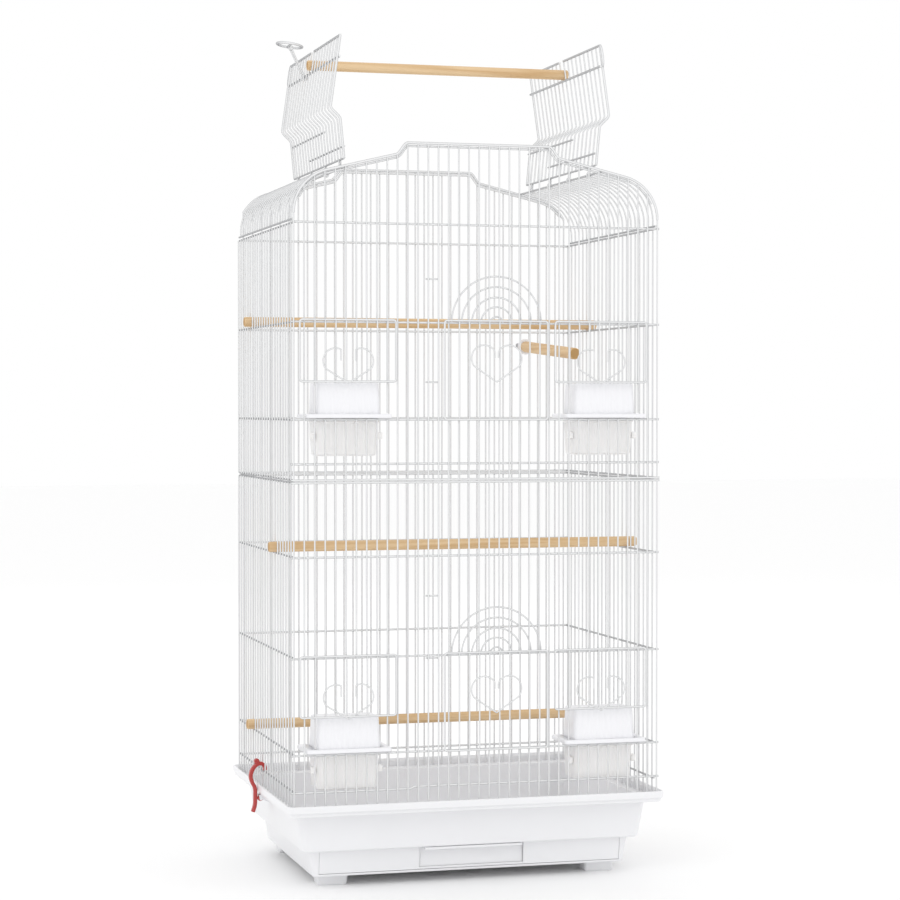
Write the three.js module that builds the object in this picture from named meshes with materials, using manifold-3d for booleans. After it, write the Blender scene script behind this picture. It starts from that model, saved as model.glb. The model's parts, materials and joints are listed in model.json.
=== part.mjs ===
// A wire bird cage on a moulded base: a pull-out drawer, a roof of two flaps, six lift-up doors,
// four hooded feeders and five wooden perches.
// Millimetres, +Z up, -Y is the front. The origin is on the floor under the middle of the cage.

import * as THREE from "three";
import { mergeVertices } from "three/addons/utils/BufferGeometryUtils.js";
import Module from "manifold-3d";

const wasm = await Module();
wasm.setup();

// Driving dimensions

const play = 0.3; // the least gap between two pieces that touch
const cage = { width: 432, depth: 330 }; // between the corner bars' centres
const wire = { bar: 2.3, rail: 2.4, outline: 3, railSetback: 2.3, cornerGap: 4.2, tie: 0.8 };
const frontPitch = 12;
const perch = { diameter: 12, freedom: 0.7, overhang: 9, sides: 10 };
const backInset = 6; // from the side panel's corner bar to the back panel's end bar

const level = {
  barFoot: 90.5,
  bottom: 114,
  lowerSill: 156,
  lowerHead: 265,
  middle: 378.5,
  jointBelow: 462.5,
  jointAbove: 465.5,
  low: 483.5,
  upperSill: 533.5,
  upperHead: 643.5,
  shoulder: 755,
  eaves: 758.5,
};

const roof = {
  edge: 765.3, // where the upright side turns into the corner arc
  radius: 50,
  slope: 13.5, // degrees
  stepInset: 118, // from the side to the foot of the step, and the step's run and rise
  stepRun: 14,
  stepRise: 13.5,
  hingeInset: 66,
};

const flap = { hingeToRail: 9.7, openAngle: 82, halfGap: 3, endStep: 24, barWidth: 2, skipBars: 2, setback: 3 };
const knuckle = { inner: 2.1, wall: 1.3, width: 4, sides: 6 };
const ring = { diameter: 33.6, wire: 3, reach: 35, rise: 24, stemSpread: 8, sides: 12 };

const doorSpaces = 10;
const door = { setOff: 3, sideReach: 5.5, overlap: 2.5 };

const feeder = {
  flangeWidth: 99,
  flangeDepth: 56,
  flangeThickness: 4.7,
  flangeLip: 4, // how far the flange stands out in front of the bars
  sideGap: 2,
  hoodWidth: 78,
  hoodTopWidth: 71,
  hoodDepth: 44,
  hoodHeight: 35,
  cupWidth: 75,
  cupBottomWidth: 66,
  cupDepth: 46,
  cupHeight: 42.5,
  wall: 2,
  fromBars: 4.4,
  hoodSet: 1,
};

const shortPerch = { diameter: 14, length: 200, droop: 3.7, height: 625, spacesIn: 4.5, hole: 14 };
const bolt = { diameter: 4.4, hole: 6.4, washer: 20, washerThickness: 1.6, nut: 9, wing: 11 };

const rim = { overhangX: 8, overhangY: 8, wall: 2.2, floor: 90, top: 99.7, corner: 13 };
const body = { topInsetX: 7, topInsetY: 15, bottomInsetX: 14, bottomInsetY: 18.5, bottom: 43 };
const housing = { topInsetX: 24.3, topInsetY: 28.4, bottomInsetX: 28.7, bottomInsetY: 32.5 };
const foot = { height: 12.4, width: 37.5, depth: 26, insetX: 36, insetY: 45 };
const drawer = { sideSeam: 6.3, clearance: 0.5, wall: 2, backGap: 6 };
const grip = { width: 125, depth: 10, lipWidth: 116, lipProud: 9.5, lipThickness: 3, sill: 3 };
const latch = { width: 7, thickness: 3, eye: 3.2, pin: 2.6, cheek: 2, knob: 3.4 };

// Finishes

const finishes = {
  wire: new THREE.MeshStandardMaterial({ color: "#e9e9e6", roughness: 0.45, metalness: 0.1 }),
  base: new THREE.MeshStandardMaterial({ color: "#e6e6ec", roughness: 0.4, metalness: 0 }),
  hood: new THREE.MeshStandardMaterial({ color: "#f7f7f5", roughness: 0.35, metalness: 0 }),
  cup: new THREE.MeshStandardMaterial({ color: "#ebe7e3", roughness: 0.25, metalness: 0 }),
  wood: new THREE.MeshStandardMaterial({ color: "#deb887", roughness: 0.7, metalness: 0 }),
  latch: new THREE.MeshStandardMaterial({ color: "#c8504b", roughness: 0.35, metalness: 0 }),
  steel: new THREE.MeshStandardMaterial({ color: "#c9cacb", roughness: 0.3, metalness: 0.9 }),
};

// Shapes

// A closed geometry as a solid that can be joined and cut.
function solid(geometry) {
  const bare = geometry.clone();
  bare.deleteAttribute("normal");
  bare.deleteAttribute("uv");
  const merged = mergeVertices(bare, 1e-4);
  const triVerts = new Uint32Array(merged.index.array);
  const vertProperties = merged.attributes.position.array;
  return new wasm.Manifold(new wasm.Mesh({ numProp: 3, vertProperties, triVerts }));
}

// The union of geometries and solids, joined two by two.
function join(...shapes) {
  const queue = shapes.flat(Infinity).map((shape) => (shape.isBufferGeometry ? solid(shape) : shape));
  while (queue.length > 1) queue.push(queue.shift().add(queue.shift()));
  return queue[0];
}

// A named mesh of a solid or a geometry, with a material of its own.
function piece(name, shape, finish) {
  const { vertProperties, triVerts } = (shape.isBufferGeometry ? solid(shape) : shape).getMesh();
  const geometry = new THREE.BufferGeometry();
  geometry.setAttribute("position", new THREE.BufferAttribute(new Float32Array(vertProperties), 3));
  geometry.setIndex(new THREE.BufferAttribute(new Uint32Array(triVerts), 1));
  geometry.computeVertexNormals();
  const mesh = new THREE.Mesh(geometry, finish.clone());
  mesh.name = name;
  return mesh;
}

// A block between two corners.
function block(low, high) {
  const size = high.map((v, i) => v - low[i]);
  const middle = high.map((v, i) => (v + low[i]) / 2);
  return new THREE.BoxGeometry(...size).translate(...middle);
}

// An upright three-sided bar whose edge points along the angle outward, in degrees from -Y.
function bar(x, y, from, to, outward = 0) {
  return new THREE.CylinderGeometry(wire.bar / 2, wire.bar / 2, to - from, 3)
    .rotateX(Math.PI / 2)
    .rotateZ(THREE.MathUtils.degToRad(outward))
    .translate(x, y, (from + to) / 2);
}

// Square rods along X and along Y.
function rodX(x0, x1, y, z, side = wire.rail) {
  return block([x0, y - side / 2, z - side / 2], [x1, y + side / 2, z + side / 2]);
}

function rodY(y0, y1, x, z, side = wire.rail) {
  return block([x - side / 2, y0, z - side / 2], [x + side / 2, y1, z + side / 2]);
}

// A round rod of few sides between two points.
function rod(a, b, diameter, sides = 4) {
  const from = new THREE.Vector3(...a);
  const along = new THREE.Vector3(...b).sub(from);
  const turn = new THREE.Quaternion().setFromUnitVectors(
    new THREE.Vector3(0, 1, 0),
    along.clone().normalize(),
  );
  return new THREE.CylinderGeometry(diameter / 2, diameter / 2, along.length(), sides)
    .applyQuaternion(turn)
    .translate(...from.addScaledVector(along, 0.5).toArray());
}

// A flat outline of points [x, z], given a width along Y and centred on y.
function plate(points, width, y, holes = []) {
  const outline = new THREE.Shape(points.map(([x, z]) => new THREE.Vector2(x, z)));
  for (const hole of holes) outline.holes.push(new THREE.Path(hole.map(([x, z]) => new THREE.Vector2(x, z))));
  return new THREE.ExtrudeGeometry(outline, { depth: width, bevelEnabled: false })
    .rotateX(Math.PI / 2)
    .translate(0, y + width / 2, 0);
}

// A band of one thickness along a path of points [x, z], with a width along Y.
function band(points, thickness, width, y) {
  const at = points.map(([x, z]) => new THREE.Vector2(x, z));
  const side = at.map((p, i) => {
    const before = p.clone().sub(at[Math.max(i - 1, 0)]).normalize();
    const after = at[Math.min(i + 1, at.length - 1)].clone().sub(p).normalize();
    const tangent = before.clone().add(after).normalize();
    const reach = i > 0 && i < at.length - 1 ? tangent.dot(after) : 1;
    return new THREE.Vector2(-tangent.y, tangent.x).multiplyScalar(thickness / 2 / reach);
  });
  const left = at.map((p, i) => p.clone().add(side[i]).toArray());
  const right = at.map((p, i) => p.clone().sub(side[i]).toArray());
  const outline = [...left, ...right.reverse()];
  const turned = THREE.ShapeUtils.area(outline.map(([x, y2]) => new THREE.Vector2(x, y2))) < 0;
  return plate(turned ? outline.reverse() : outline, width, y);
}

// A regular polygon of points round a centre [x, z].
function polygon(centre, radius, sides, start = 0) {
  return Array.from({ length: sides }, (_, i) => {
    const angle = start + (2 * Math.PI * i) / sides;
    return [centre[0] + radius * Math.cos(angle), centre[1] + radius * Math.sin(angle)];
  });
}

// A disc, tube or rod turned about an axis along Y that starts at y.
function turned(profile, x, y, z, sides) {
  const points = profile.map(([r, along]) => new THREE.Vector2(r, along));
  return new THREE.LatheGeometry(points, sides).translate(x, y, z);
}

// A closed body through level sections: half lengths, corner radius and height of each.
function loft(sections, cornerSteps = 4) {
  const ringOf = ([halfX, halfY, radius, z]) => {
    const points = [];
    for (let quarter = 0; quarter < 4; quarter += 1) {
      const signX = quarter === 0 || quarter === 3 ? 1 : -1;
      const signY = quarter < 2 ? 1 : -1;
      for (let step = 0; step <= cornerSteps; step += 1) {
        const angle = (Math.PI / 2) * (quarter + step / cornerSteps);
        const x = signX * (halfX - radius) + radius * Math.cos(angle);
        const y = signY * (halfY - radius) + radius * Math.sin(angle);
        points.push(x, y, z);
      }
    }
    return points;
  };
  const count = 4 * (cornerSteps + 1);
  const positions = sections.flatMap(ringOf);
  const faces = [];
  for (let level = 0; level < sections.length - 1; level += 1) {
    for (let i = 0; i < count; i += 1) {
      const a = level * count + i;
      const b = level * count + ((i + 1) % count);
      faces.push(a, b, b + count, a, b + count, a + count);
    }
  }
  const top = (sections.length - 1) * count;
  for (let i = 1; i < count - 1; i += 1) faces.push(0, i + 1, i, top, top + i, top + i + 1);
  const geometry = new THREE.BufferGeometry();
  geometry.setAttribute("position", new THREE.BufferAttribute(new Float32Array(positions), 3));
  geometry.setIndex(faces);
  return geometry;
}

// Places that the pieces share

const half = { x: cage.width / 2, y: cage.depth / 2 };
const frontSpaces = Math.round(cage.width / frontPitch);
const frontStep = cage.width / frontSpaces;
const sideSpaces = Math.floor(cage.depth / (perch.diameter + wire.bar + perch.freedom) + 1e-9);
const sideStep = cage.depth / sideSpaces;
const backSpaces = frontSpaces;
const backHalf = half.x - backInset;
const backStep = (2 * backHalf) / backSpaces;

const frontX = (index) => -half.x + index * frontStep;
const sideY = (index) => -half.y + index * sideStep;
const backX = (index) => -backHalf + index * backStep;
const indices = (from, to) => Array.from({ length: to - from + 1 }, (_, i) => from + i);

const feederSpaces = Math.ceil((feeder.flangeWidth + wire.bar + feeder.sideGap) / frontStep);
const openings = {
  left: [1, 1 + feederSpaces],
  centre: [frontSpaces - 2 - feederSpaces - doorSpaces, frontSpaces - 2 - feederSpaces],
  right: [frontSpaces - 1 - feederSpaces, frontSpaces - 1],
};

const slope = Math.tan(THREE.MathUtils.degToRad(roof.slope));
const arcEnd = THREE.MathUtils.degToRad(90 + roof.slope);

// The roof line from one distance in from the side to another: arc, slope, step and flat top.
function roofLine(fromInset, toInset, arcSteps = 5) {
  const points = [];
  const arcEndInset = roof.radius * (1 + Math.cos(arcEnd));
  const arcEndHeight = roof.edge + roof.radius * Math.sin(arcEnd);
  const sloped = (inset) => arcEndHeight + slope * (inset - arcEndInset);
  const top = sloped(roof.stepInset) + roof.stepRise;
  const height = (inset) => {
    if (inset >= roof.stepInset + roof.stepRun) return top;
    const climbed = Math.max(inset - roof.stepInset, 0) / roof.stepRun;
    if (climbed > 0) return sloped(roof.stepInset) + climbed * roof.stepRise;
    return sloped(inset);
  };
  if (fromInset < arcEndInset) {
    const start = Math.acos(fromInset / roof.radius - 1);
    for (let i = 0; i <= arcSteps; i += 1) {
      const angle = start + ((arcEnd - start) * i) / arcSteps;
      points.push([roof.radius * (1 + Math.cos(angle)), roof.edge + roof.radius * Math.sin(angle)]);
    }
  } else {
    points.push([fromInset, height(fromInset)]);
  }
  const corners = [roof.stepInset, roof.stepInset + roof.stepRun];
  for (const inset of corners.filter((c) => c > fromInset && c < toInset)) points.push([inset, height(inset)]);
  points.push([toInset, height(toInset)]);
  return points;
}

// The whole roof line across the cage, left to right, from an inset on each side.
function acrossRoof(inset) {
  const right = roofLine(inset, half.x).map(([e, z]) => [half.x - e, z]);
  const left = right.map(([x, z]) => [-x, z]);
  return [...left.slice(0, -1), ...right.reverse()];
}

// The height of a path of points [x, z] at x.
function heightAt(points, x) {
  const next = Math.max(points.findIndex((p) => p[0] >= x - 1e-6), 1);
  const [a, b] = [points[next - 1], points[next]];
  return a[1] + ((b[1] - a[1]) * (x - a[0])) / (b[0] - a[0]);
}

const hinge = { x: half.x - roof.hingeInset, z: roofLine(roof.hingeInset, half.x)[0][1] };
const feederOuter = frontX(openings.right[1]) - feeder.sideGap;
const feederX = feederOuter - feeder.flangeWidth / 2;
const midSpace = Math.floor(sideSpaces / 2) + 0.5;

// Wire panels

// A rail inside the bars of a front or back panel, tied to the panel's two end bars.
function innerRailX(halfWidth, y, inward, z) {
  const railY = y + inward * wire.railSetback;
  const end = halfWidth + wire.rail / 2;
  const tie = (x) => block(
    [x - wire.tie, Math.min(y, railY), z - wire.tie],
    [x + wire.tie, Math.max(y, railY), z + wire.tie],
  );
  return [rodX(-end, end, railY, z), tie(-halfWidth), tie(halfWidth)];
}

// A rail inside the bars of a side panel, tied to its first and last bar.
function innerRailY(y0, y1, x, z, ties) {
  const railX = x - Math.sign(x) * wire.railSetback;
  const tie = (y) => block(
    [Math.min(x, railX), y - wire.tie, z - wire.tie],
    [Math.max(x, railX), y + wire.tie, z + wire.tie],
  );
  return [rodY(y0, y1, railX, z), ...ties.map(tie)];
}

// The front's bars between two heights, without those that stand in an opening.
function frontBars(from, to, open = []) {
  const inOpening = (i) => open.some(([first, last]) => i > first && i < last);
  const kept = indices(0, frontSpaces).filter((i) => !inOpening(i));
  return kept.map((i) => bar(frontX(i), -half.y, from, typeof to === "function" ? to(frontX(i)) : to));
}

function frontLower() {
  const doors = Object.values(openings);
  const rails = [level.lowerSill, level.lowerHead, level.jointBelow];
  return join(
    frontBars(level.barFoot, level.lowerSill),
    frontBars(level.lowerSill, level.lowerHead, doors),
    frontBars(level.lowerHead, level.jointBelow),
    rails.map((z) => rodX(-half.x, half.x, -half.y, z)),
    innerRailX(half.x, -half.y, 1, level.bottom),
    innerRailX(half.x, -half.y, 1, level.middle),
  );
}

function frontUpper() {
  const doors = Object.values(openings);
  const line = acrossRoof(0);
  const rails = [level.jointAbove, level.upperSill, level.upperHead];
  const top = (x) => Math.max(heightAt(line, x), roof.edge + wire.outline / 2);
  return join(
    frontBars(level.jointAbove, level.upperSill),
    frontBars(level.upperSill, level.upperHead, doors),
    frontBars(level.upperHead, top),
    rails.map((z) => rodX(-half.x, half.x, -half.y, z)),
    innerRailX(half.x, -half.y, 1, level.low),
    innerRailX(half.x, -half.y, 1, level.shoulder),
    band(line, wire.outline, wire.outline, -half.y),
  );
}

function backLower() {
  const bars = indices(0, backSpaces).map((i) => bar(backX(i), half.y, level.barFoot, level.jointBelow, 180));
  return join(
    bars,
    rodX(-backHalf, backHalf, half.y, level.jointBelow),
    [level.bottom, level.lowerSill, level.lowerHead, level.middle].map((z) => innerRailX(backHalf, half.y, -1, z)),
  );
}

function backUpper() {
  const line = acrossRoof(backInset);
  const bars = indices(0, backSpaces).map((i) =>
    bar(backX(i), half.y, level.jointAbove, heightAt(line, backX(i)), 180),
  );
  return join(
    bars,
    rodX(-backHalf, backHalf, half.y, level.jointAbove),
    [level.upperSill, level.upperHead, level.shoulder].map((z) => innerRailX(backHalf, half.y, -1, z)),
    band(line, wire.outline, wire.outline, half.y),
  );
}

// A side panel between two heights: its first bar stands one space behind the front's corner bar.
function sidePanel(side, from, to, ends, rails) {
  const x = side * half.x;
  const front = -half.y + wire.cornerGap;
  const back = half.y + wire.rail / 2;
  const ties = [sideY(1), half.y];
  return join(
    indices(1, sideSpaces).map((i) => bar(x, sideY(i), from, to, side * 90)),
    ends.map((z) => rodY(front, back, x, z)),
    rails.map((z) => innerRailY(front, back, x, z, ties)),
  );
}

// Half of the fixed roof: bars from the eaves, round the corner and up to the hinge rail.
function shoulder(side) {
  const end = half.y - wire.cornerGap;
  const path = [[0, level.eaves], ...roofLine(0, roof.hingeInset, 3).slice(1)];
  const points = path.map(([inset, z]) => [side * (half.x - inset), z]);
  return join(
    indices(1, sideSpaces - 1).map((i) => band(points, flap.barWidth, flap.barWidth, sideY(i))),
    rodY(-end, end, side * half.x, level.eaves),
    rodY(-end, end, side * hinge.x, hinge.z),
  );
}

// A roof flap in its closed place, with the hinge on the origin and its free end towards -side.
function roofFlap(side) {
  const startInset = roof.hingeInset + flap.hingeToRail * Math.cos(THREE.MathUtils.degToRad(roof.slope));
  const endInset = half.x - flap.halfGap;
  const path = roofLine(startInset, endInset);
  const local = ([inset, z]) => [-side * (inset - roof.hingeInset), z - hinge.z];
  const points = path.map(local);
  const [foot, , , end] = points;
  const ends = [flap.skipBars, sideSpaces - flap.skipBars].map(sideY);
  const perchSpace = [midSpace - 0.5, midSpace + 0.5].map(sideY);
  const inner = (inset) => {
    const [x, z] = local([inset, heightAt(path, inset)]);
    return [x, z - flap.setback];
  };
  const rails = [startInset + 14, roof.stepInset - 4, endInset - flap.endStep].map(inner);
  const straps = [flap.skipBars + 1.5, sideSpaces - flap.skipBars - 1.5].map((space) => {
    const outer = knuckle.inner + knuckle.wall;
    const eye = plate(polygon([0, 0], outer, knuckle.sides), knuckle.width, sideY(space), [
      polygon([0, 0], knuckle.inner, knuckle.sides),
    ]);
    const reach = (knuckle.inner + outer) / 2 / Math.hypot(...foot);
    return join(eye, band([[foot[0] * reach, foot[1] * reach], foot], knuckle.wall, knuckle.width, sideY(space)));
  });
  return join(
    indices(flap.skipBars, sideSpaces - flap.skipBars).map((i) =>
      band(points, flap.barWidth, flap.barWidth, sideY(i)),
    ),
    rodY(ends[0], ends[1], ...foot),
    rodY(ends[0], perchSpace[0], ...end),
    rodY(perchSpace[1], ends[1], ...end),
    rails.map(([x, z]) => [
      rodY(ends[0] - wire.rail / 2, ends[1] + wire.rail / 2, x, z),
      ends.map((y) => block([x - wire.tie, y - wire.tie, z], [x + wire.tie, y + wire.tie, z + flap.setback])),
    ]),
    straps,
  );
}

// The rail of a flap that carries the ring and the top perch, from the hinge, with the flap closed.
const carrier = (() => {
  const inset = half.x - flap.halfGap - flap.endStep;
  const top = roofLine(inset, half.x)[0][1];
  return { x: inset - roof.hingeInset, z: top - flap.setback - hinge.z };
})();

// The ring, its cross wire and the two stems that hook round the carrier rail at the origin.
function ringHandle() {
  const centre = [ring.reach, 0, ring.rise];
  const outer = ring.diameter / 2;
  const inner = outer - ring.wire;
  const halfWire = ring.wire / 2;
  const profile = [
    [inner, -halfWire],
    [outer, -halfWire],
    [outer, halfWire],
    [inner, halfWire],
    [inner, -halfWire],
  ];
  const hoop = new THREE.LatheGeometry(
    profile.map(([r, along]) => new THREE.Vector2(r, along)),
    ring.sides,
  ).rotateZ(Math.PI / 2);
  const crossHalf = (outer + inner) / 2;
  const stems = [-1, 1].map((side) => {
    const y = (side * ring.stemSpread) / 2;
    const eyeOuter = knuckle.inner + knuckle.wall;
    const eye = plate(polygon([0, 0], eyeOuter, knuckle.sides), ring.wire, y, [
      polygon([0, 0], knuckle.inner, knuckle.sides),
    ]);
    const start = (knuckle.inner + eyeOuter) / 2 / Math.hypot(ring.reach, ring.rise);
    const stem = band(
      [
        [ring.reach * start, ring.rise * start],
        [ring.reach, ring.rise],
      ],
      ring.wire,
      ring.wire,
      y,
    );
    return join(eye, stem);
  });
  return join(hoop.translate(...centre), rodY(-crossHalf, crossHalf, ring.reach, ring.rise, ring.wire), stems);
}

// A lift-up door of bars in front of an opening, between two heights.
function wireDoor([first, last], sill, head) {
  const y = -half.y - door.setOff;
  const left = frontX(first) - door.sideReach;
  const right = frontX(last) - door.overlap;
  const bottom = sill;
  const bars = [left, right, ...indices(first + 1, last - 1).map(frontX)];
  return join(
    bars.map((x) => bar(x, y, bottom, head)),
    rodX(left - wire.rail / 2, right + wire.rail / 2, y, bottom),
    rodX(left - wire.rail / 2, right + wire.rail / 2, y, head),
  );
}

// A feeder's hood: a flange that passes over the sill rail, and a cover open below and behind.
function feederHood() {
  const front = -half.y - feeder.flangeLip;
  const under = wire.rail / 2 + 2 * play;
  const top = under + feeder.flangeThickness;
  const centreY = -half.y + feeder.hoodSet + feeder.hoodDepth / 2;
  const [halfBottom, halfTop] = [feeder.hoodWidth / 2, feeder.hoodTopWidth / 2];
  const halfDepth = feeder.hoodDepth / 2;
  const lean = halfBottom - halfTop;
  const wall = feeder.wall;
  const flangeHalf = feeder.flangeWidth / 2;
  const flange = block([-flangeHalf, front, under], [flangeHalf, front + feeder.flangeDepth, top]);
  const cover = loft(
    [
      [halfBottom, halfDepth, 6, under],
      [halfBottom, halfDepth, 6, top],
      [halfTop, halfDepth - lean, 6, top + feeder.hoodHeight],
    ],
    2,
  ).translate(0, centreY, 0);
  const inside = loft(
    [
      [halfBottom - wall, halfDepth - wall, 5, under - 1],
      [halfBottom - wall, halfDepth - wall, 5, top],
      [halfTop - wall, halfDepth - lean - wall, 5, top + feeder.hoodHeight - wall],
    ],
    2,
  ).translate(0, centreY, 0);
  const mouth = block(
    [-(halfTop - 2 * wall), centreY, top + wall],
    [halfTop - 2 * wall, centreY + feeder.hoodDepth, top + feeder.hoodHeight - 3 * wall],
  );
  return join(flange, cover).subtract(solid(inside)).subtract(solid(mouth));
}

// A feeder's cup, open at the top, just under the flange.
function feederCup() {
  const top = wire.rail / 2 + play;
  const bottom = top - feeder.cupHeight;
  const wall = feeder.wall;
  const centreY = -half.y + feeder.fromBars + feeder.cupDepth / 2;
  const halfDepth = feeder.cupDepth / 2;
  const lean = (feeder.cupWidth - feeder.cupBottomWidth) / 2;
  const outside = loft(
    [
      [feeder.cupBottomWidth / 2, halfDepth - lean, 7, bottom],
      [feeder.cupWidth / 2, halfDepth, 7, top],
    ],
    2,
  ).translate(0, centreY, 0);
  const inside = loft(
    [
      [feeder.cupBottomWidth / 2 - wall, halfDepth - lean - wall, 5, bottom + wall],
      [feeder.cupWidth / 2 - wall, halfDepth - wall, 5, top + 1],
    ],
    2,
  ).translate(0, centreY, 0);
  return solid(outside).subtract(solid(inside));
}

// Moulded base

const flangeUnder = rim.floor - 3;
const underside = foot.height;
const lipX = half.x + rim.overhangX;
const lipY = half.y + rim.overhangY;
const pinX = lipX - 3;
const pinZ = flangeUnder - 3.8;
const latchY = sideY(midSpace);

// The base's outer sections from the bottom up, each drawn in by a wall.
function baseSections(wall) {
  const drawnIn = (halfX, halfY, corner, z) => [halfX - wall, halfY - wall, Math.max(corner - wall, 3), z];
  const rise = wall > 0 ? wall : 0;
  return [
    drawnIn(half.x - housing.bottomInsetX, half.y - housing.bottomInsetY, 12, underside + rise),
    drawnIn(half.x - housing.topInsetX, half.y - housing.topInsetY, 14, body.bottom + rise),
    drawnIn(half.x - body.bottomInsetX, half.y - body.bottomInsetY, 24, body.bottom + rise + 0.01),
    drawnIn(half.x - body.topInsetX, half.y - body.topInsetY, 30, wall > 0 ? rim.floor : flangeUnder),
  ];
}

function baseTub() {
  const outside = loft([
    ...baseSections(0),
    [lipX - 1.5, lipY - 1.5, rim.corner - 1.5, flangeUnder + 0.01],
    [lipX, lipY, rim.corner, flangeUnder + 1.5],
    [lipX, lipY, rim.corner, rim.top],
  ]);
  const inLip = [lipX - rim.wall, lipY - rim.wall, rim.corner - rim.wall];
  const inside = loft([
    ...baseSections(rim.wall),
    [...inLip, rim.floor + 0.01],
    [...inLip, rim.top + 5],
  ]);
  const feet = [-1, 1].flatMap((sx) =>
    [-1, 1].map((sy) => {
      const x = [half.x - foot.insetX - foot.width, half.x - foot.insetX].map((v) => v * sx);
      const y = [half.y - foot.insetY - foot.depth, half.y - foot.insetY].map((v) => v * sy);
      const centre = [(x[0] + x[1]) / 2, (y[0] + y[1]) / 2, 0];
      return loft(
        [
          [foot.width / 2 - 1.5, foot.depth / 2 - 1.5, 4, 0],
          [foot.width / 2, foot.depth / 2, 5, foot.height + 1],
        ],
        2,
      ).translate(...centre);
    }),
  );
  const mouthHalf = half.x - housing.bottomInsetX - drawer.sideSeam;
  const mouth = block(
    [-mouthHalf, -lipY, underside + rim.wall + drawer.clearance],
    [mouthHalf, -half.y + housing.bottomInsetY + 8, body.bottom + 0.4],
  );
  return join(solid(outside).subtract(solid(inside)), feet, latchLugs()).subtract(solid(mouth));
}

// Two cheeks under the rim on each side, with the pin that the latch turns on.
function latchLugs() {
  const inner = half.x - body.topInsetX - 1;
  const radius = latch.eye;
  return [-1, 1].map((side) => {
    const cheeks = [-1, 1].map((way) => {
      const y = latchY + way * (latch.width / 2 + play + latch.cheek / 2);
      const outline = [
        [side * inner, flangeUnder + 1],
        [side * (pinX + radius * 0.6), flangeUnder + 1],
        [side * (pinX + radius * 0.6), pinZ - radius * 0.6],
        [side * inner, pinZ - radius * 2.2],
      ];
      return plate(side > 0 ? outline.reverse() : outline, latch.cheek, y);
    });
    const reach = latch.width / 2 + play + latch.cheek / 2;
    const pin = rod([side * pinX, latchY - reach, pinZ], [side * pinX, latchY + reach, pinZ], latch.pin, 8);
    return join(cheeks, pin);
  });
}

// The latch: an eye on the pin, a tail to pull, a bow round the rim and a hook over the bottom wire.
function rimLatch() {
  const wireTop = level.bottom + wire.rail / 2;
  const out = lipX + latch.thickness / 2 + 2 * play;
  const overWire = half.x - wire.railSetback / 2;
  const hook = [
    [overWire, wireTop + 0.6],
    [overWire, wireTop + 5],
    [overWire + 3.5, wireTop + 9],
    [half.x + 8, wireTop + 9],
    [lipX + 7, wireTop + 3],
    [lipX + 9.5, wireTop - 6],
    [lipX + 6.5, rim.top + 2],
    [out, rim.top - 4],
    [out, flangeUnder - 4],
    [lipX + 3, flangeUnder - 12],
    [lipX + 5.6, flangeUnder - 20],
  ];
  const hole = polygon([pinX, pinZ], latch.pin / 2 + play, 8, Math.PI / 8);
  const eye = plate(polygon([pinX, pinZ], latch.eye, 8, Math.PI / 8), latch.width, latchY, [hole]);
  const arm = band(
    [
      [pinX + (latch.pin / 2 + play + latch.eye) / 2, pinZ],
      [out, pinZ],
    ],
    latch.thickness,
    latch.width,
    latchY,
  );
  const knob = rod(
    [half.x + 9, latchY - latch.width / 2, wireTop + 12],
    [half.x + 9, latchY + latch.width / 2, wireTop + 12],
    2 * latch.knob,
    8,
  );
  return join(band(hook, latch.thickness, latch.width, latchY), eye, arm, knob);
}

// The drawer: a tray whose front follows the housing's draft, with a grip recess under a lip.
function drawerTray() {
  const halfX = half.x - housing.bottomInsetX - drawer.sideSeam - drawer.clearance;
  const bottom = underside + rim.wall + 2 * drawer.clearance;
  const top = body.bottom - drawer.clearance + 0.2;
  const faceAt = (z) => {
    const climbed = (z - underside) / (body.bottom - underside);
    const inset = housing.bottomInsetY + climbed * (housing.topInsetY - housing.bottomInsetY);
    return -half.y + inset;
  };
  const back = half.y - housing.bottomInsetY - rim.wall - drawer.backGap;
  const front = new THREE.Shape([
    new THREE.Vector2(faceAt(bottom), bottom),
    new THREE.Vector2(faceAt(bottom) + 4, bottom),
    new THREE.Vector2(faceAt(bottom) + 4, top),
    new THREE.Vector2(faceAt(top), top),
  ]);
  const face = new THREE.ExtrudeGeometry(front, { depth: 2 * halfX, bevelEnabled: false })
    .rotateX(Math.PI / 2)
    .rotateZ(Math.PI / 2)
    .translate(-halfX, 0, 0);
  const start = faceAt(bottom) + 3;
  const tray = block([-halfX, start, bottom], [halfX, back, top - 1.5]);
  const hollow = block(
    [-halfX + drawer.wall, start + 2 * drawer.wall, bottom + drawer.wall],
    [halfX - drawer.wall, back - drawer.wall, top + 1],
  );
  const gripHalf = grip.width / 2;
  const gripBack = faceAt(top) + grip.depth;
  const pocketWall = block(
    [-gripHalf - drawer.wall, start, bottom],
    [gripHalf + drawer.wall, gripBack + drawer.wall, top],
  );
  const pocket = block([-gripHalf, -lipY, bottom + grip.sill], [gripHalf, gripBack, top + 1]);
  const lip = block(
    [-grip.lipWidth / 2, faceAt(top) - grip.lipProud, top - grip.lipThickness],
    [grip.lipWidth / 2, gripBack + drawer.wall / 2, top],
  );
  const shell = join(tray, face).subtract(solid(hollow));
  return join(shell, pocketWall).subtract(solid(pocket)).add(solid(lip));
}

// Perches

// A dowel along X, centred on the origin.
function dowel(length, diameter) {
  const r = diameter / 2;
  return new THREE.CylinderGeometry(r, r, length, perch.sides).rotateZ(Math.PI / 2);
}

// The short perch along -Y from the origin, with the bolt's hole in its back end.
function stubPerch() {
  const r = shortPerch.diameter / 2;
  const hole = bolt.hole / 2;
  const profile = [
    [0, -shortPerch.length],
    [r, -shortPerch.length],
    [r, 0],
    [hole, 0],
    [hole, -shortPerch.hole],
    [0, -shortPerch.hole],
  ];
  return turned(profile, 0, 0, 0, perch.sides);
}

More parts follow.
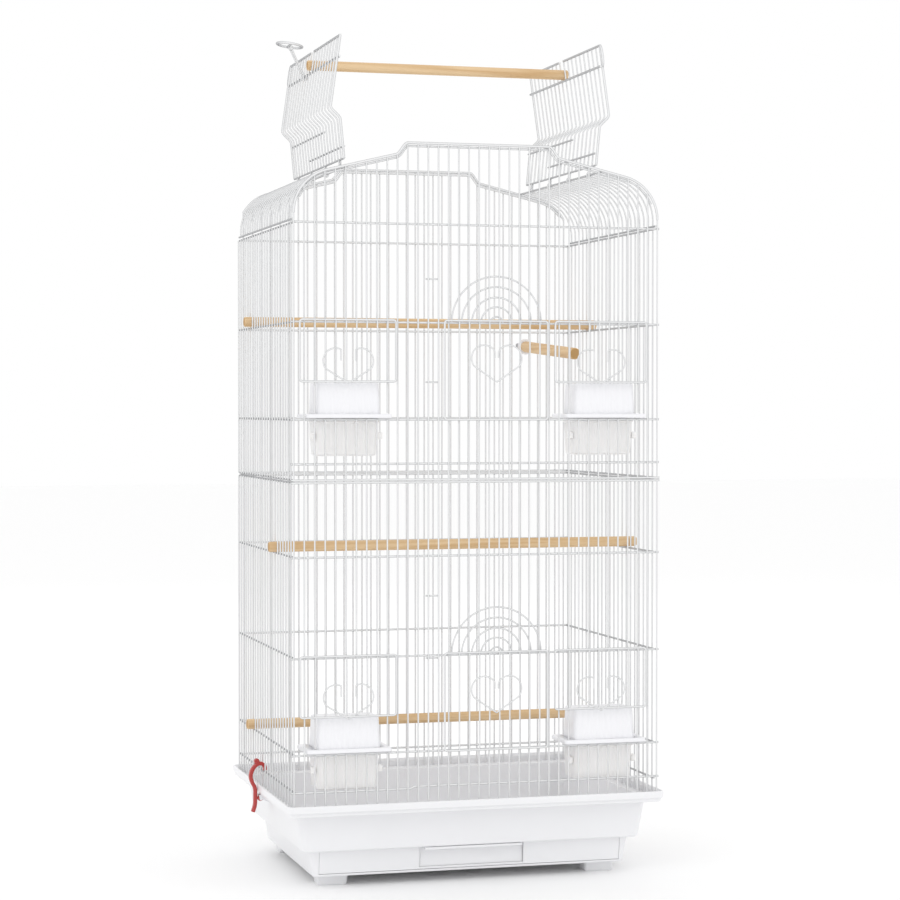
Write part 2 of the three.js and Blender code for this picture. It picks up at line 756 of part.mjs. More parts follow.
function washer(diameter) {
  const [r, hole, t] = [diameter / 2, bolt.hole / 2, bolt.washerThickness];
  const profile = [
    [hole, 0],
    [r, 0],
    [r, t],
    [hole, t],
    [hole, 0],
  ];
  return turned(profile, 0, 0, 0, 12);
}

function wingNut() {
  const r = bolt.nut / 2;
  const hub = plate(polygon([0, 0], r, 8, Math.PI / 8), 3.2, 0, [polygon([0, 0], bolt.hole / 2, 8, Math.PI / 8)]);
  const wing = (side) => {
    const outline = [
      [side * (r - 0.8), -1.5],
      [side * bolt.wing, -1],
      [side * bolt.wing, 5.5],
      [side * (r - 1.2), 2],
    ];
    return plate(side > 0 ? outline : outline.reverse(), 1.6, 0);
  };
  return join(hub, wing(-1), wing(1));
}

// The assembly

const birdCage = new THREE.Group();
const { wire: coated, base, hood: white, cup: smoked, wood, latch: red, steel } = finishes;

birdCage.add(piece("base_tub", baseTub(), base));
birdCage.add(piece("drawer", drawerTray(), base));

birdCage.add(piece("front_panel_lower", frontLower(), coated));
birdCage.add(piece("front_panel_upper", frontUpper(), coated));
birdCage.add(piece("back_panel_lower", backLower(), coated));
birdCage.add(piece("back_panel_upper", backUpper(), coated));

const flapPlaces = {};
for (const [name, side] of [
  ["left", -1],
  ["right", 1],
]) {
  const lowerRails = [level.bottom, level.lowerSill, level.lowerHead, level.middle];
  const upperRails = [level.upperSill, level.upperHead];
  const lower = sidePanel(side, level.barFoot, level.jointBelow, [level.jointBelow], lowerRails);
  const upper = sidePanel(side, level.jointAbove, level.shoulder, [level.jointAbove, level.shoulder], upperRails);
  birdCage.add(piece(`${name}_panel_lower`, lower, coated));
  birdCage.add(piece(`${name}_panel_upper`, upper, coated));
  birdCage.add(piece(`roof_shoulder_${name}`, shoulder(side), coated));

  const place = new THREE.Group();
  place.position.set(side * hinge.x, 0, hinge.z);
  place.rotation.y = side * THREE.MathUtils.degToRad(flap.openAngle);
  place.add(piece(`roof_flap_${name}`, roofFlap(side), coated));
  birdCage.add(place);
  flapPlaces[name] = place;

  const mirrored = piece(`rim_latch_${name}`, rimLatch(), red);
  if (side < 0) {
    mirrored.rotation.z = Math.PI;
    mirrored.position.y = 2 * latchY;
  }
  birdCage.add(mirrored);
}

const handle = piece("ring_handle", ringHandle(), coated);
handle.position.set(carrier.x, sideY(midSpace + 3), carrier.z);
flapPlaces.left.add(handle);

// The top perch lies on the two open flaps' carrier rails, between two of their bars.
const openAngle = THREE.MathUtils.degToRad(flap.openAngle);
const carrierReach = Math.hypot(carrier.x, carrier.z);
const carrierTop = hinge.z + carrierReach + wire.rail / 2;
const carrierOut = hinge.x - carrier.x * Math.cos(openAngle) + carrier.z * Math.sin(openAngle);
const topPerchLength = 2 * (carrierOut + 7);
const topPerch = piece("top_perch", dowel(topPerchLength, perch.diameter), wood);
topPerch.position.set(0, sideY(midSpace), carrierTop + wire.rail / 4 + play + perch.diameter / 2);
birdCage.add(topPerch);

const perchRest = wire.rail / 2 + play + perch.diameter / 2;
for (const [name, space, rail] of [
  ["perch_upper", sideSpaces - 5.5, level.upperHead],
  ["perch_middle", 6.5, level.middle],
  ["perch_lower", sideSpaces - 6.5, level.lowerSill],
]) {
  const mesh = piece(name, dowel(cage.width + 2 * perch.overhang, perch.diameter), wood);
  mesh.position.set(0, sideY(space), rail + perchRest);
  birdCage.add(mesh);
}

// The short perch is bolted through the back panel.
const stubX = backHalf - shortPerch.spacesIn * backStep;
const barHalf = wire.bar / 2;
const frontWasherY = half.y - barHalf - play - bolt.washerThickness;
const rearWasherY = half.y + barHalf + play;
const stub = piece("short_perch", stubPerch(), wood);
stub.position.set(stubX, frontWasherY - play - 0.5, shortPerch.height);
stub.rotation.x = THREE.MathUtils.degToRad(shortPerch.droop);
birdCage.add(stub);

const boltEnd = rearWasherY + bolt.washerThickness + play + 3.2 + play;
const shank = rod(
  [0, frontWasherY - shortPerch.hole + 3, 0],
  [0, boltEnd, 0],
  bolt.diameter,
  8,
);
const perchBolt = piece("perch_bolt", shank, steel);
perchBolt.position.set(stubX, 0, shortPerch.height);
birdCage.add(perchBolt);

const frontWasher = piece("perch_washer_front", washer(bolt.washer), white);
frontWasher.position.set(stubX, frontWasherY, shortPerch.height);
birdCage.add(frontWasher);

const rearWasher = piece("perch_washer_rear", washer(bolt.washer - 4), steel);
rearWasher.position.set(stubX, rearWasherY, shortPerch.height);
birdCage.add(rearWasher);

const nut = piece("perch_wing_nut", wingNut(), steel);
nut.position.set(stubX, rearWasherY + bolt.washerThickness + play + 1.6, shortPerch.height);
birdCage.add(nut);

// Doors and feeders, upper and lower
for (const [tier, sill, head] of [
  ["upper", level.upperSill, level.upperHead],
  ["lower", level.lowerSill, level.lowerHead],
]) {
  const aboveHood = sill + wire.rail + 3 * play + feeder.flangeThickness + feeder.hoodHeight;
  birdCage.add(piece(`centre_door_${tier}`, wireDoor(openings.centre, sill, head + door.overlap), coated));
  for (const [name, side] of [
    ["left", -1],
    ["right", 1],
  ]) {
    const shape = wireDoor(openings[name], aboveHood, head + door.overlap);
    birdCage.add(piece(`feeder_door_${tier}_${name}`, shape, coated));
    const hoodMesh = piece(`feeder_hood_${tier}_${name}`, feederHood(), white);
    hoodMesh.position.set(side * feederX, 0, sill);
    birdCage.add(hoodMesh);
    const cupMesh = piece(`feeder_cup_${tier}_${name}`, feederCup(), smoked);
    cupMesh.position.set(side * feederX, 0, sill);
    birdCage.add(cupMesh);
  }
}

export default birdCage;
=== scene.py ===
"""A wire bird cage on a moulded base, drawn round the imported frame."""

import json
import math

import bmesh
import bpy
import numpy as np
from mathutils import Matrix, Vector


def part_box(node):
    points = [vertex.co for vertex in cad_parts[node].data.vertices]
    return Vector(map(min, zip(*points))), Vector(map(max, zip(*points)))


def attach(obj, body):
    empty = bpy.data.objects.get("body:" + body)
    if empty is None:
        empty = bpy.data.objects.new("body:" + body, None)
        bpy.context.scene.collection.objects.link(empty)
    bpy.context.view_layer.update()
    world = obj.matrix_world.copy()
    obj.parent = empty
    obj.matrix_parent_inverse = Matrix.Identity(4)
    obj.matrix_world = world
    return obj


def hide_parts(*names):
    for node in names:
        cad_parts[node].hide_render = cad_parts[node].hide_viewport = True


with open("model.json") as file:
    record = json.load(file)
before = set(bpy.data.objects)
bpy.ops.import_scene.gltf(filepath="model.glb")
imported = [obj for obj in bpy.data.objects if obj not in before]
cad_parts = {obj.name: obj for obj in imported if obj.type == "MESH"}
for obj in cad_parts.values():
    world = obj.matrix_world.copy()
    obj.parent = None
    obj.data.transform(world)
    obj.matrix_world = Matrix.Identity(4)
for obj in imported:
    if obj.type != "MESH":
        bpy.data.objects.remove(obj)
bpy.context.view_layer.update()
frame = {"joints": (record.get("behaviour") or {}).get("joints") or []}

bl_info = {
    "name": "Wire Bird Cage",
    "version": (1, 0, 0),
    "blender": (4, 5, 0),
    "location": "3D View > Sidebar > Bird Cage",
    "description": "Round wires, moulded plastic, turned perches and a studio for a bird cage",
    "category": "Object",
}

UP = np.array([0.0, 0.0, 1.0])
ALONG_X = np.array([1.0, 0.0, 0.0])
ALONG_Y = np.array([0.0, 1.0, 0.0])
SIDES = {"left": -1.0, "right": 1.0}
TIERS = ("upper", "lower")


# Places taken from the frame

def low(node, axis):
    """The lower end of a node's box along an axis."""
    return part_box(node)[0][axis]


def high(node, axis):
    """The upper end of a node's box along an axis."""
    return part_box(node)[1][axis]


def joint(name):
    """The frame's joint of that name."""
    return next(j for j in frame["joints"] if j["name"] == name)


def pivot_of(name):
    """The place of a joint."""
    return np.array(joint(name)["pos_m"])


CAD_RAIL = 0.0024
HALF_X = high("front_panel_lower", 0) - CAD_RAIL / 2
HALF_Y = high("left_panel_lower", 1) - CAD_RAIL / 2
BACK_HALF = high("back_panel_lower", 0) - CAD_RAIL / 2
FRONT_SPACES = 36
SIDE_SPACES = 22
FRONT_STEP = 2 * HALF_X / FRONT_SPACES
SIDE_STEP = 2 * HALF_Y / SIDE_SPACES
BACK_STEP = 2 * BACK_HALF / FRONT_SPACES
LEVEL = {
    "foot": low("front_panel_lower", 2),
    "bottom": 0.114,
    "lower_sill": low("centre_door_lower", 2) + CAD_RAIL / 2,
    "lower_head": 0.265,
    "middle": 0.3785,
    "joint_below": high("front_panel_lower", 2) - CAD_RAIL / 2,
    "joint_above": low("front_panel_upper", 2) + CAD_RAIL / 2,
    "low": 0.4835,
    "upper_sill": low("centre_door_upper", 2) + CAD_RAIL / 2,
    "upper_head": 0.6435,
    "shoulder": high("left_panel_upper", 2) - CAD_RAIL / 2,
    "eaves": low("roof_shoulder_left", 2) + CAD_RAIL / 2,
}

# The bars at each opening's sides, counted from the left corner
OPENINGS = {"left": (1, 10), "centre": (15, 25), "right": (26, 35)}

# From the sill to the bars beside a hood, and how far crossing wires sink into each other
FLANGE_CLEAR = 0.0075
WELD = 0.0002

ARCH_CENTRE = 0.0214
ARCH_RADII = (0.0535, 0.0415, 0.0295, 0.0185, 0.0075)
CROSS_ENDS = (-0.0625, -0.0475)
CROSS_HEIGHTS = {"lower": (0.333, 0.262), "upper": (0.693, 0.576)}
SHORT_PERCH_HEIGHT = 0.625

# The roof line: a round corner over the side, a slope, and an S step up to the middle
ROOF_EDGE = 0.7653
ROOF_RADIUS = 0.050
ROOF_SLOPE = math.tan(math.radians(13.5))
STEP_INSET = 0.118
STEP_RUN = 0.014
STEP_RISE = 0.0135

# The flaps' hinge rail, and how far the flaps stand open at rest
HINGE = pivot_of("flap_right_hinge")
HINGE_INSET = HALF_X - HINGE[0]
OPEN_ANGLE = math.radians(joint("flap_right_hinge")["range_deg"][1])


# Shapes worked out as whole arrays

def merge(parts):
    """Several (points, faces) as one, each part's face numbers moved up by the points before it."""
    points, faces, count = [], [], 0
    for part_points, part_faces in parts:
        points.append(part_points)
        faces.extend([[int(i) + count for i in face] for face in part_faces])
        count += len(part_points)
    return np.concatenate(points), faces


def tube(path, radius, normal, sides=8, closed=False):
    """A round wire: a circle of the radius carried along a flat path, spanned at each point by the
    path's own normal and by tangent x normal, where the tangent is the difference of the neighbours."""
    path = np.asarray(path, float)
    normal = np.asarray(normal, float)
    if closed:
        tangent = np.roll(path, -1, axis=0) - np.roll(path, 1, axis=0)
    else:
        tangent = np.gradient(path, axis=0)
    across = np.cross(tangent, normal)
    across /= np.linalg.norm(across, axis=1)[:, None]
    angle = 2 * np.pi * np.arange(sides) / sides
    ring = np.cos(angle)[None, :, None] * across[:, None, :] + np.sin(angle)[None, :, None] * normal
    points = (path[:, None, :] + np.asarray(radius).reshape(-1, 1, 1) * ring).reshape(-1, 3)
    return points, grid_faces(len(path), sides, closed)


def grid_faces(rows, columns, closed=False):
    """Quads over rows of points that close round on themselves, with a cap at each end if the rows don't."""
    row = np.arange(rows if closed else rows - 1)[:, None]
    column = np.arange(columns)[None, :]
    after, beside = (row + 1) % rows, (column + 1) % columns
    quads = np.stack(
        [row * columns + column, row * columns + beside, after * columns + beside, after * columns + column],
        axis=-1,
    )
    faces = quads.reshape(-1, 4).tolist()
    if not closed:
        faces.append(list(range(columns))[::-1])
        faces.append(list(range((rows - 1) * columns, rows * columns)))
    return faces


def rods(starts, ends, radius, normal, sides=8):
    """Many straight round rods at once: a ring of points at each start and each end."""
    starts, ends = np.atleast_2d(starts).astype(float), np.atleast_2d(ends).astype(float)
    along = ends - starts
    across = np.cross(along, normal)
    across /= np.linalg.norm(across, axis=1)[:, None]
    angle = 2 * np.pi * np.arange(sides) / sides
    cos, sin = np.cos(angle)[None, :, None], np.sin(angle)[None, :, None]
    ring = cos * across[:, None, :] + sin * np.asarray(normal)
    points = np.stack([starts[:, None, :] + radius * ring, ends[:, None, :] + radius * ring], axis=1)
    count = len(starts)
    base = 2 * sides * np.arange(count)[:, None]
    column = np.arange(sides)[None, :]
    beside = (column + 1) % sides
    quads = np.stack([base + column, base + beside, base + sides + beside, base + sides + column], axis=-1)
    faces = quads.reshape(-1, 4).tolist()
    faces += (base + np.arange(sides)[::-1][None, :]).tolist()
    faces += (base + sides + np.arange(sides)[None, :]).tolist()
    return points.reshape(-1, 3), faces


def place(x, y, z):
    """Points from x, y and z, each a number or an array, stacked into rows."""
    return np.stack(np.broadcast_arrays(*(np.asarray(v, float) for v in (x, y, z))), axis=-1)


def rounded_ring(half_x, half_y, radius, z, steps=10):
    """A level outline with round corners: four quarter circles joined by straight sides."""
    quarter = np.arange(4)[:, None]
    angle = np.pi / 2 * (quarter + np.linspace(0, 1, steps + 1)[None, :])
    sign_x = np.where((quarter == 0) | (quarter == 3), 1.0, -1.0)
    sign_y = np.where(quarter < 2, 1.0, -1.0)
    x = sign_x * (half_x - radius) + radius * np.cos(angle)
    y = sign_y * (half_y - radius) + radius * np.sin(angle)
    return place(x.ravel(), y.ravel(), z)


def stack(rings):
    """A body through outlines of the same number of points, capped at both ends."""
    return np.concatenate(rings), grid_faces(len(rings), len(rings[0]))


def loft(sections, steps=10):
    """A body through level outlines, each given by its half lengths, corner radius and height."""
    return stack([rounded_ring(*section, steps) for section in sections])


def turned(profile, centre, axis, sides=48):
    """A body turned about an axis: each (along, radius) of the profile becomes a ring of points."""
    profile = np.asarray(profile, float)
    axis = np.asarray(axis, float) / np.linalg.norm(axis)
    helper = UP if abs(axis[2]) < 0.9 else ALONG_X
    u = np.cross(axis, helper)
    u /= np.linalg.norm(u)
    v = np.cross(axis, u)
    angle = 2 * np.pi * np.arange(sides) / sides
    ring = np.cos(angle)[:, None] * u + np.sin(angle)[:, None] * v
    along, radius = profile[:, 0][:, None, None], profile[:, 1][:, None, None]
    points = np.asarray(centre) + along * axis + radius * ring[None]
    return points.reshape(-1, 3), grid_faces(len(profile), sides)


def turned_ring(profile, centre, axis, sides=48):
    """A turned body with a hole through it: the profile is a loop, so nothing is capped."""
    points, _ = turned(profile, centre, axis, sides)
    return points, grid_faces(len(profile), sides, closed=True)


def chamfer(half_x, half_y, half_z, centre, edge=0.0006):
    """A block whose twelve edges are cut back, as four stacked outlines."""
    inner = (half_x - edge, half_y - edge)
    sections = [
        (*inner, edge * 0.5, -half_z),
        (half_x, half_y, edge, -half_z + edge),
        (half_x, half_y, edge, half_z - edge),
        (*inner, edge * 0.5, half_z),
    ]
    points, faces = loft(sections, 2)
    return points + np.asarray(centre), faces


def roof_height(inset):
    """The roof line over the distance in from the side: a quarter turn, a slope, an S step and a flat."""
    inset = np.asarray(inset, float)
    arc_inset = ROOF_RADIUS * (1 - math.sin(math.atan(ROOF_SLOPE)))
    arc_height = ROOF_EDGE + ROOF_RADIUS * math.cos(math.atan(ROOF_SLOPE))
    arc = ROOF_EDGE + np.sqrt(np.clip(ROOF_RADIUS**2 - (ROOF_RADIUS - inset) ** 2, 0, None))
    sloped = arc_height + ROOF_SLOPE * (np.minimum(inset, STEP_INSET) - arc_inset)
    climbed = np.clip((inset - STEP_INSET) / STEP_RUN, 0, 1)
    return np.where(inset < arc_inset, arc, sloped + STEP_RISE * climbed**2 * (3 - 2 * climbed))


def roof_insets(start, end):
    """Distances in from the side that follow the bends closely: even in angle round the corner."""
    arc_inset = ROOF_RADIUS * (1 - math.sin(math.atan(ROOF_SLOPE)))
    first, last = (math.acos(1 - inset / ROOF_RADIUS) for inset in (min(start, arc_inset), arc_inset))
    angle = np.linspace(first, last, 12)
    arc = ROOF_RADIUS * (1 - np.cos(angle))
    step = np.linspace(STEP_INSET - 0.002, STEP_INSET + STEP_RUN + 0.002, 10)
    insets = np.concatenate([arc[arc >= start], step, [start, end]])
    return np.unique(np.round(insets[(insets >= start) & (insets <= end)], 7))


# Pieces

def outward_mesh(name, shape, doubles=0.0):
    """A mesh of (points, faces): points nearer than doubles are merged, and its normals face outward."""
    points, faces = shape
    mesh = bpy.data.meshes.new(name)
    mesh.from_pydata(points.tolist(), [], faces)
    work = bmesh.new()
    work.from_mesh(mesh)
    if doubles:
        bmesh.ops.remove_doubles(work, verts=work.verts, dist=doubles)
    bmesh.ops.recalc_face_normals(work, faces=work.faces)
    work.to_mesh(mesh)
    work.free()
    return mesh


def linked(name, data):
    """A new object of the data, linked into the scene."""
    made = bpy.data.objects.new(name, data)
    bpy.context.scene.collection.objects.link(made)
    return made


def build(name, shape, material, body, replaced=(), smooth=50.0, ends=None):
    """A piece from (points, faces), smooth up to an angle, riding on its body. Faces that look along the
    axis given with ends take the second material."""
    mesh = outward_mesh(name, shape, 1e-7)
    mesh.shade_smooth()
    mesh.set_sharp_from_angle(angle=math.radians(smooth))
    mesh.materials.append(material)
    if ends:
        axis, end_material = ends
        mesh.materials.append(end_material)
        normals = np.array([face.normal for face in mesh.polygons])
        mesh.polygons.foreach_set("material_index", (np.abs(normals @ axis) > 0.9).astype(np.int32))
    piece = linked(name, mesh)
    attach(piece, body)
    if replaced:
        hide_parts(*replaced)


def front_x(index):
    """Where the front's bars stand along X, counted from the left corner."""
    return -HALF_X + FRONT_STEP * np.asarray(index, float)


def side_y(index):
    """Where a side's bars stand along Y, counted from the front corner."""
    return -HALF_Y + SIDE_STEP * np.asarray(index, float)


def back_x(index):
    """Where the back's bars stand along X, counted from the left corner."""
    return -BACK_HALF + BACK_STEP * np.asarray(index, float)


def setback(sizes):
    """How far a level wire's middle lies behind the bars' middle, so that the two sink into each other."""
    return (sizes.bar + sizes.rail) / 2 - WELD


def inside_openings(index):
    """Which of the front's bars stand inside an opening, and are cut there."""
    return np.any([(index > a) & (index < b) for a, b in OPENINGS.values()], axis=0)


def uprights(x, y, start, end, gauge):
    """Upright bars at x, y between two heights, each a number or an array."""
    return rods(place(x, y, start), place(x, y, end), gauge / 2, ALONG_Y)


def level_wire(half, y, z, gauge, hooks=0.0):
    """A level wire across the front or back, with an optional stub past each end."""
    reach = half + hooks
    return rods(place(-reach, y, z), place(reach, y, z), gauge / 2, UP)


def jogged_wire(y, z, gauge, hooks):
    """The front's foot wire, which steps up a little between two bars left of the middle."""
    reach, step = HALF_X + hooks, 0.0024
    x = np.array([-reach, -0.0850, -0.0845, -0.0805, -0.0765, -0.0725, -0.0720, reach])
    path = place(x, y, z + np.array([0, 0, 0, 0, step, step, step, step]))
    return tube(smooth_path(path), gauge / 2, ALONG_Y)


def depth_wire(x, z, gauge, start, end):
    """A level wire from front to back."""
    return rods(place(x, start, z), place(x, end, z), gauge / 2, UP)


def roof_outline(y, inset, gauge, drop=0.0):
    """The outline wire of a front or back panel, from one side over the roof to the other. It starts an
    inset from the side, and lies a drop below the roof line."""
    insets = roof_insets(inset, HALF_X - 0.004)
    x, z = HALF_X - insets, roof_height(insets)
    step_x, step_z = np.gradient(x), np.gradient(z)
    step = np.hypot(step_x, step_z)
    x, z = x - drop * step_z / step, z + drop * step_x / step
    path = place(np.concatenate([x, -x[::-1]]), y, np.concatenate([z, z[::-1]]))
    return tube(path, gauge / 2, ALONG_Y)


def arches(base, y, gauge):
    """Five half circles one inside the other, open at their foot on the rail."""
    angle = np.linspace(0, np.pi, 29)
    return [
        tube(place(ARCH_CENTRE + r * np.cos(angle), y, base + r * np.sin(angle)), gauge / 2, ALONG_Y, 6)
        for r in ARCH_RADII
    ]


def feeder_guides(y, sill, head, gauge):
    """The bars just inside each feeder opening, which end above the hood's flange."""
    inner = np.array([opening[0] + 1 for opening in (OPENINGS["left"], OPENINGS["right"])])
    index = np.concatenate([inner, inner + 7])
    return uprights(front_x(index), y, sill + FLANGE_CLEAR, head, gauge)


def crosses(y, heights, gauge):
    """Short level wires left of the centre door, for a door to be hooked open on."""
    start, end = CROSS_ENDS
    return [rods(place(start, y, z), place(end, y, z), gauge / 2, UP) for z in heights]


def heart(centre_x, tip, width, height, gap, y, gauge):
    """Two mirrored halves of a heart: a straight run from the tip, then a lobe that curls in, up to half
    the gap from the middle."""
    lobe = width / 4
    turn = np.linspace(math.radians(-38), math.radians(178), 22)
    lobe_x = width / 2 - lobe + lobe * np.cos(turn)
    lobe_z = height - lobe + lobe * np.sin(turn)
    half_x = np.concatenate([[0.0], lobe_x])
    half_z = np.concatenate([[0.0], lobe_z])
    curl_x = np.maximum(half_x, np.where(np.arange(len(half_x)) > 14, gap / 2, 0.0))
    sides = []
    for sign in (-1.0, 1.0):
        path = place(centre_x + sign * curl_x, y, tip + half_z)
        sides.append(tube(smooth_path(path), gauge / 2, ALONG_Y, 6))
    return sides


def smooth_path(path, rounds=2):
    """Corner cutting: every span gives a point at a quarter and at three quarters of it."""
    for _ in range(rounds):
        first, second = path[:-1], path[1:]
        cut = np.stack([0.75 * first + 0.25 * second, 0.25 * first + 0.75 * second], axis=1).reshape(-1, 3)
        path = np.concatenate([path[:1], cut, path[-1:]])
    return path


def front_bars(sizes, tier, start, end):
    """What both front panels have: bars, whole or cut at the openings, arches, crosses and guides."""
    y, bar = -HALF_Y, sizes.bar
    inner = y + setback(sizes)
    sill, head = LEVEL[tier + "_sill"], LEVEL[tier + "_head"]
    index = np.arange(FRONT_SPACES + 1)
    whole, cut = index[~inside_openings(index)], index[inside_openings(index)]
    end = np.broadcast_to(end, index.shape)
    return [
        uprights(front_x(whole), y, start, end[whole], bar),
        uprights(front_x(cut), y, start, sill, bar),
        uprights(front_x(cut), y, head, end[cut], bar),
        *arches(head, inner, bar),
        *crosses(inner, CROSS_HEIGHTS[tier], bar),
        feeder_guides(y, sill, head, bar),
    ]


def front_rails(sizes, levels):
    """The front's level wires: behind the bars, but in line with them where the two panels meet."""
    inner = -HALF_Y + setback(sizes)
    return [
        level_wire(HALF_X, -HALF_Y if z.startswith("joint") else inner, LEVEL[z], sizes.rail, sizes.hook)
        for z in levels
    ]


def front_lower(sizes):
    """The lower front panel, on its jogged foot wire."""
    parts = front_bars(sizes, "lower", LEVEL["foot"], LEVEL["joint_below"])
    parts.append(jogged_wire(-HALF_Y + setback(sizes), LEVEL["bottom"], sizes.rail, sizes.hook))
    parts += front_rails(sizes, ("lower_sill", "lower_head", "middle", "joint_below"))
    return merge(parts)


def front_upper(sizes):
    """The upper front panel, up to the two wires of the roof's outline."""
    top = roof_height(HALF_X - np.abs(front_x(np.arange(FRONT_SPACES + 1))))
    parts = front_bars(sizes, "upper", LEVEL["joint_above"], top)
    parts.append(roof_outline(-HALF_Y, 0.0, sizes.outline))
    parts.append(roof_outline(-HALF_Y + setback(sizes), 0.004, sizes.rail, sizes.outline_gap))
    parts += front_rails(sizes, ("joint_above", "low", "upper_sill", "upper_head", "shoulder"))
    return merge(parts)


def back_panel(sizes, start, end, rails):
    """A back panel. With no end given its bars go up to the roof line, and it has the outline's wires."""
    y, hooks = HALF_Y, 0.004
    inner = y - setback(sizes)
    x = back_x(np.arange(FRONT_SPACES + 1))
    to_roof = end is None
    parts = [uprights(x, y, start, roof_height(HALF_X - np.abs(x)) if to_roof else end, sizes.bar)]
    parts += [level_wire(BACK_HALF, inner, LEVEL[z], sizes.rail, hooks) for z in rails]
    if to_roof:
        inset = HALF_X - BACK_HALF
        parts.append(roof_outline(y, inset, sizes.outline))
        parts.append(roof_outline(inner, inset + 0.003, sizes.rail, sizes.outline_gap))
    return merge(parts)


def side_panel(sizes, side, start, end, rails):
    """A side panel, from the bar next to the front corner to the back corner's."""
    x = side * HALF_X
    inner = x - side * setback(sizes)
    parts = [uprights(x, side_y(np.arange(1, SIDE_SPACES + 1)), start, end, sizes.bar)]
    parts += [depth_wire(inner, LEVEL[z], sizes.rail, -HALF_Y + 0.0035, HALF_Y + 0.003) for z in rails]
    return merge(parts)


def shoulder(sizes, side):
    """A fixed roof shoulder: bars bent over the corner, from the eaves rail to the hinge rail."""
    insets = roof_insets(0.0, HINGE_INSET)
    x = side * (HALF_X - np.concatenate([[0.0], insets]))
    z = np.concatenate([[LEVEL["eaves"]], roof_height(insets)])
    parts = [tube(place(x, y, z), sizes.bar / 2, ALONG_Y) for y in side_y(np.arange(1, SIDE_SPACES))]
    end = HALF_Y - 0.0045
    parts.append(depth_wire(side * HALF_X, LEVEL["eaves"], sizes.rail, -end, end))
    parts.append(depth_wire(side * HINGE[0], HINGE[2], sizes.rail, -end, end))
    return merge(parts)


def opened(x, z, side):
    """Points of a flap drawn closed, x from the hinge towards the middle, turned up to its rest place."""
    cos, sin = math.cos(OPEN_ANGLE), math.sin(OPEN_ANGLE)
    turned_x = x * cos - z * sin
    turned_z = x * sin + z * cos
    return side * (HINGE[0] - turned_x), HINGE[2] + turned_z


def flap(sizes, side):
    """A roof flap: bars along the roof line, rails across them, and a gap in the end rail for the perch."""
    start = HINGE_INSET + 0.0094
    end = HALF_X - 0.003
    index = np.arange(2, SIDE_SPACES - 1)
    middle = SIDE_SPACES / 2 + 0.5
    perch_space = np.array([middle - 0.5, middle + 0.5])
    insets = roof_insets(start, end)
    x, z = opened(insets - HINGE_INSET, roof_height(insets) - HINGE[2], side)
    edges = (index[0], index[-1])
    parts = []
    for i in index:
        gauge = sizes.outline if i in edges else sizes.bar
        parts.append(tube(place(x, side_y(i), z), gauge / 2, ALONG_Y))

    def rail(inset, gauge, below, ends):
        rx, rz = opened(inset - HINGE_INSET, roof_height(inset) - HINGE[2] - below, side)
        return depth_wire(rx, rz, gauge, *ends)

    first, last = side_y(edges[0]), side_y(edges[1])
    below = setback(sizes)
    parts.append(rail(start, sizes.rail, 0.0, (first, last)))
    parts.append(rail(end, sizes.outline, 0.0, (first, side_y(perch_space[0]))))
    parts.append(rail(end, sizes.outline, 0.0, (side_y(perch_space[1]), last)))
    parts.append(rail(end - 0.024, sizes.outline, below + 0.0005, (first - 0.002, last + 0.002)))
    parts.append(rail(start + 0.014, sizes.rail, below, (first, side_y(middle + 2.5))))
    parts.append(rail(STEP_INSET - 0.004, sizes.rail, below, (side_y(middle - 3.5), last)))
    parts += hinge_loops(sizes, side, start)
    parts.append(corner_loop(sizes, side, end, first if side > 0 else last))
    return merge(parts)


def corner_loop(sizes, side, end, edge):
    """A half round wire that bows out past the flap's edge, from its end rail to its second rail."""
    half_span, bow = 0.012, 0.0052
    turn = np.linspace(-np.pi / 2, np.pi / 2, 17)
    insets = end - half_span + half_span * np.sin(turn)
    x, z = opened(insets - HINGE_INSET, roof_height(insets) - HINGE[2], side)
    points = place(x, edge - side * bow * np.cos(turn), z)
    return tube(points, sizes.outline / 2, np.cross(ALONG_Y, points[-1] - points[0]) / (2 * half_span))


def hinge_loops(sizes, side, start):
    """Wire loops from a flap's foot rail round the hinge rail: a circle with a straight tail."""
    angle = np.linspace(math.radians(20), math.radians(340), 18)
    radius = sizes.rail / 2 + sizes.bar / 2 + 0.0007
    foot = start - HINGE_INSET
    lift = roof_height(start) - HINGE[2]
    tilt = math.atan2(lift, foot)
    reach = math.hypot(foot, lift)
    local_x = np.concatenate([[reach], radius * np.cos(angle), [reach]])
    local_z = np.concatenate([[sizes.bar / 2], radius * np.sin(angle), [-sizes.bar / 2]])
    flat_x = local_x * math.cos(tilt) - local_z * math.sin(tilt)
    flat_z = local_x * math.sin(tilt) + local_z * math.cos(tilt)
    x, z = opened(flat_x, flat_z, side)
    spaces = (3.5, 8.5, SIDE_SPACES - 8.5, SIDE_SPACES - 3.5)
    return [tube(place(x, side_y(s), z), sizes.bar / 2, ALONG_Y, 6) for s in spaces]


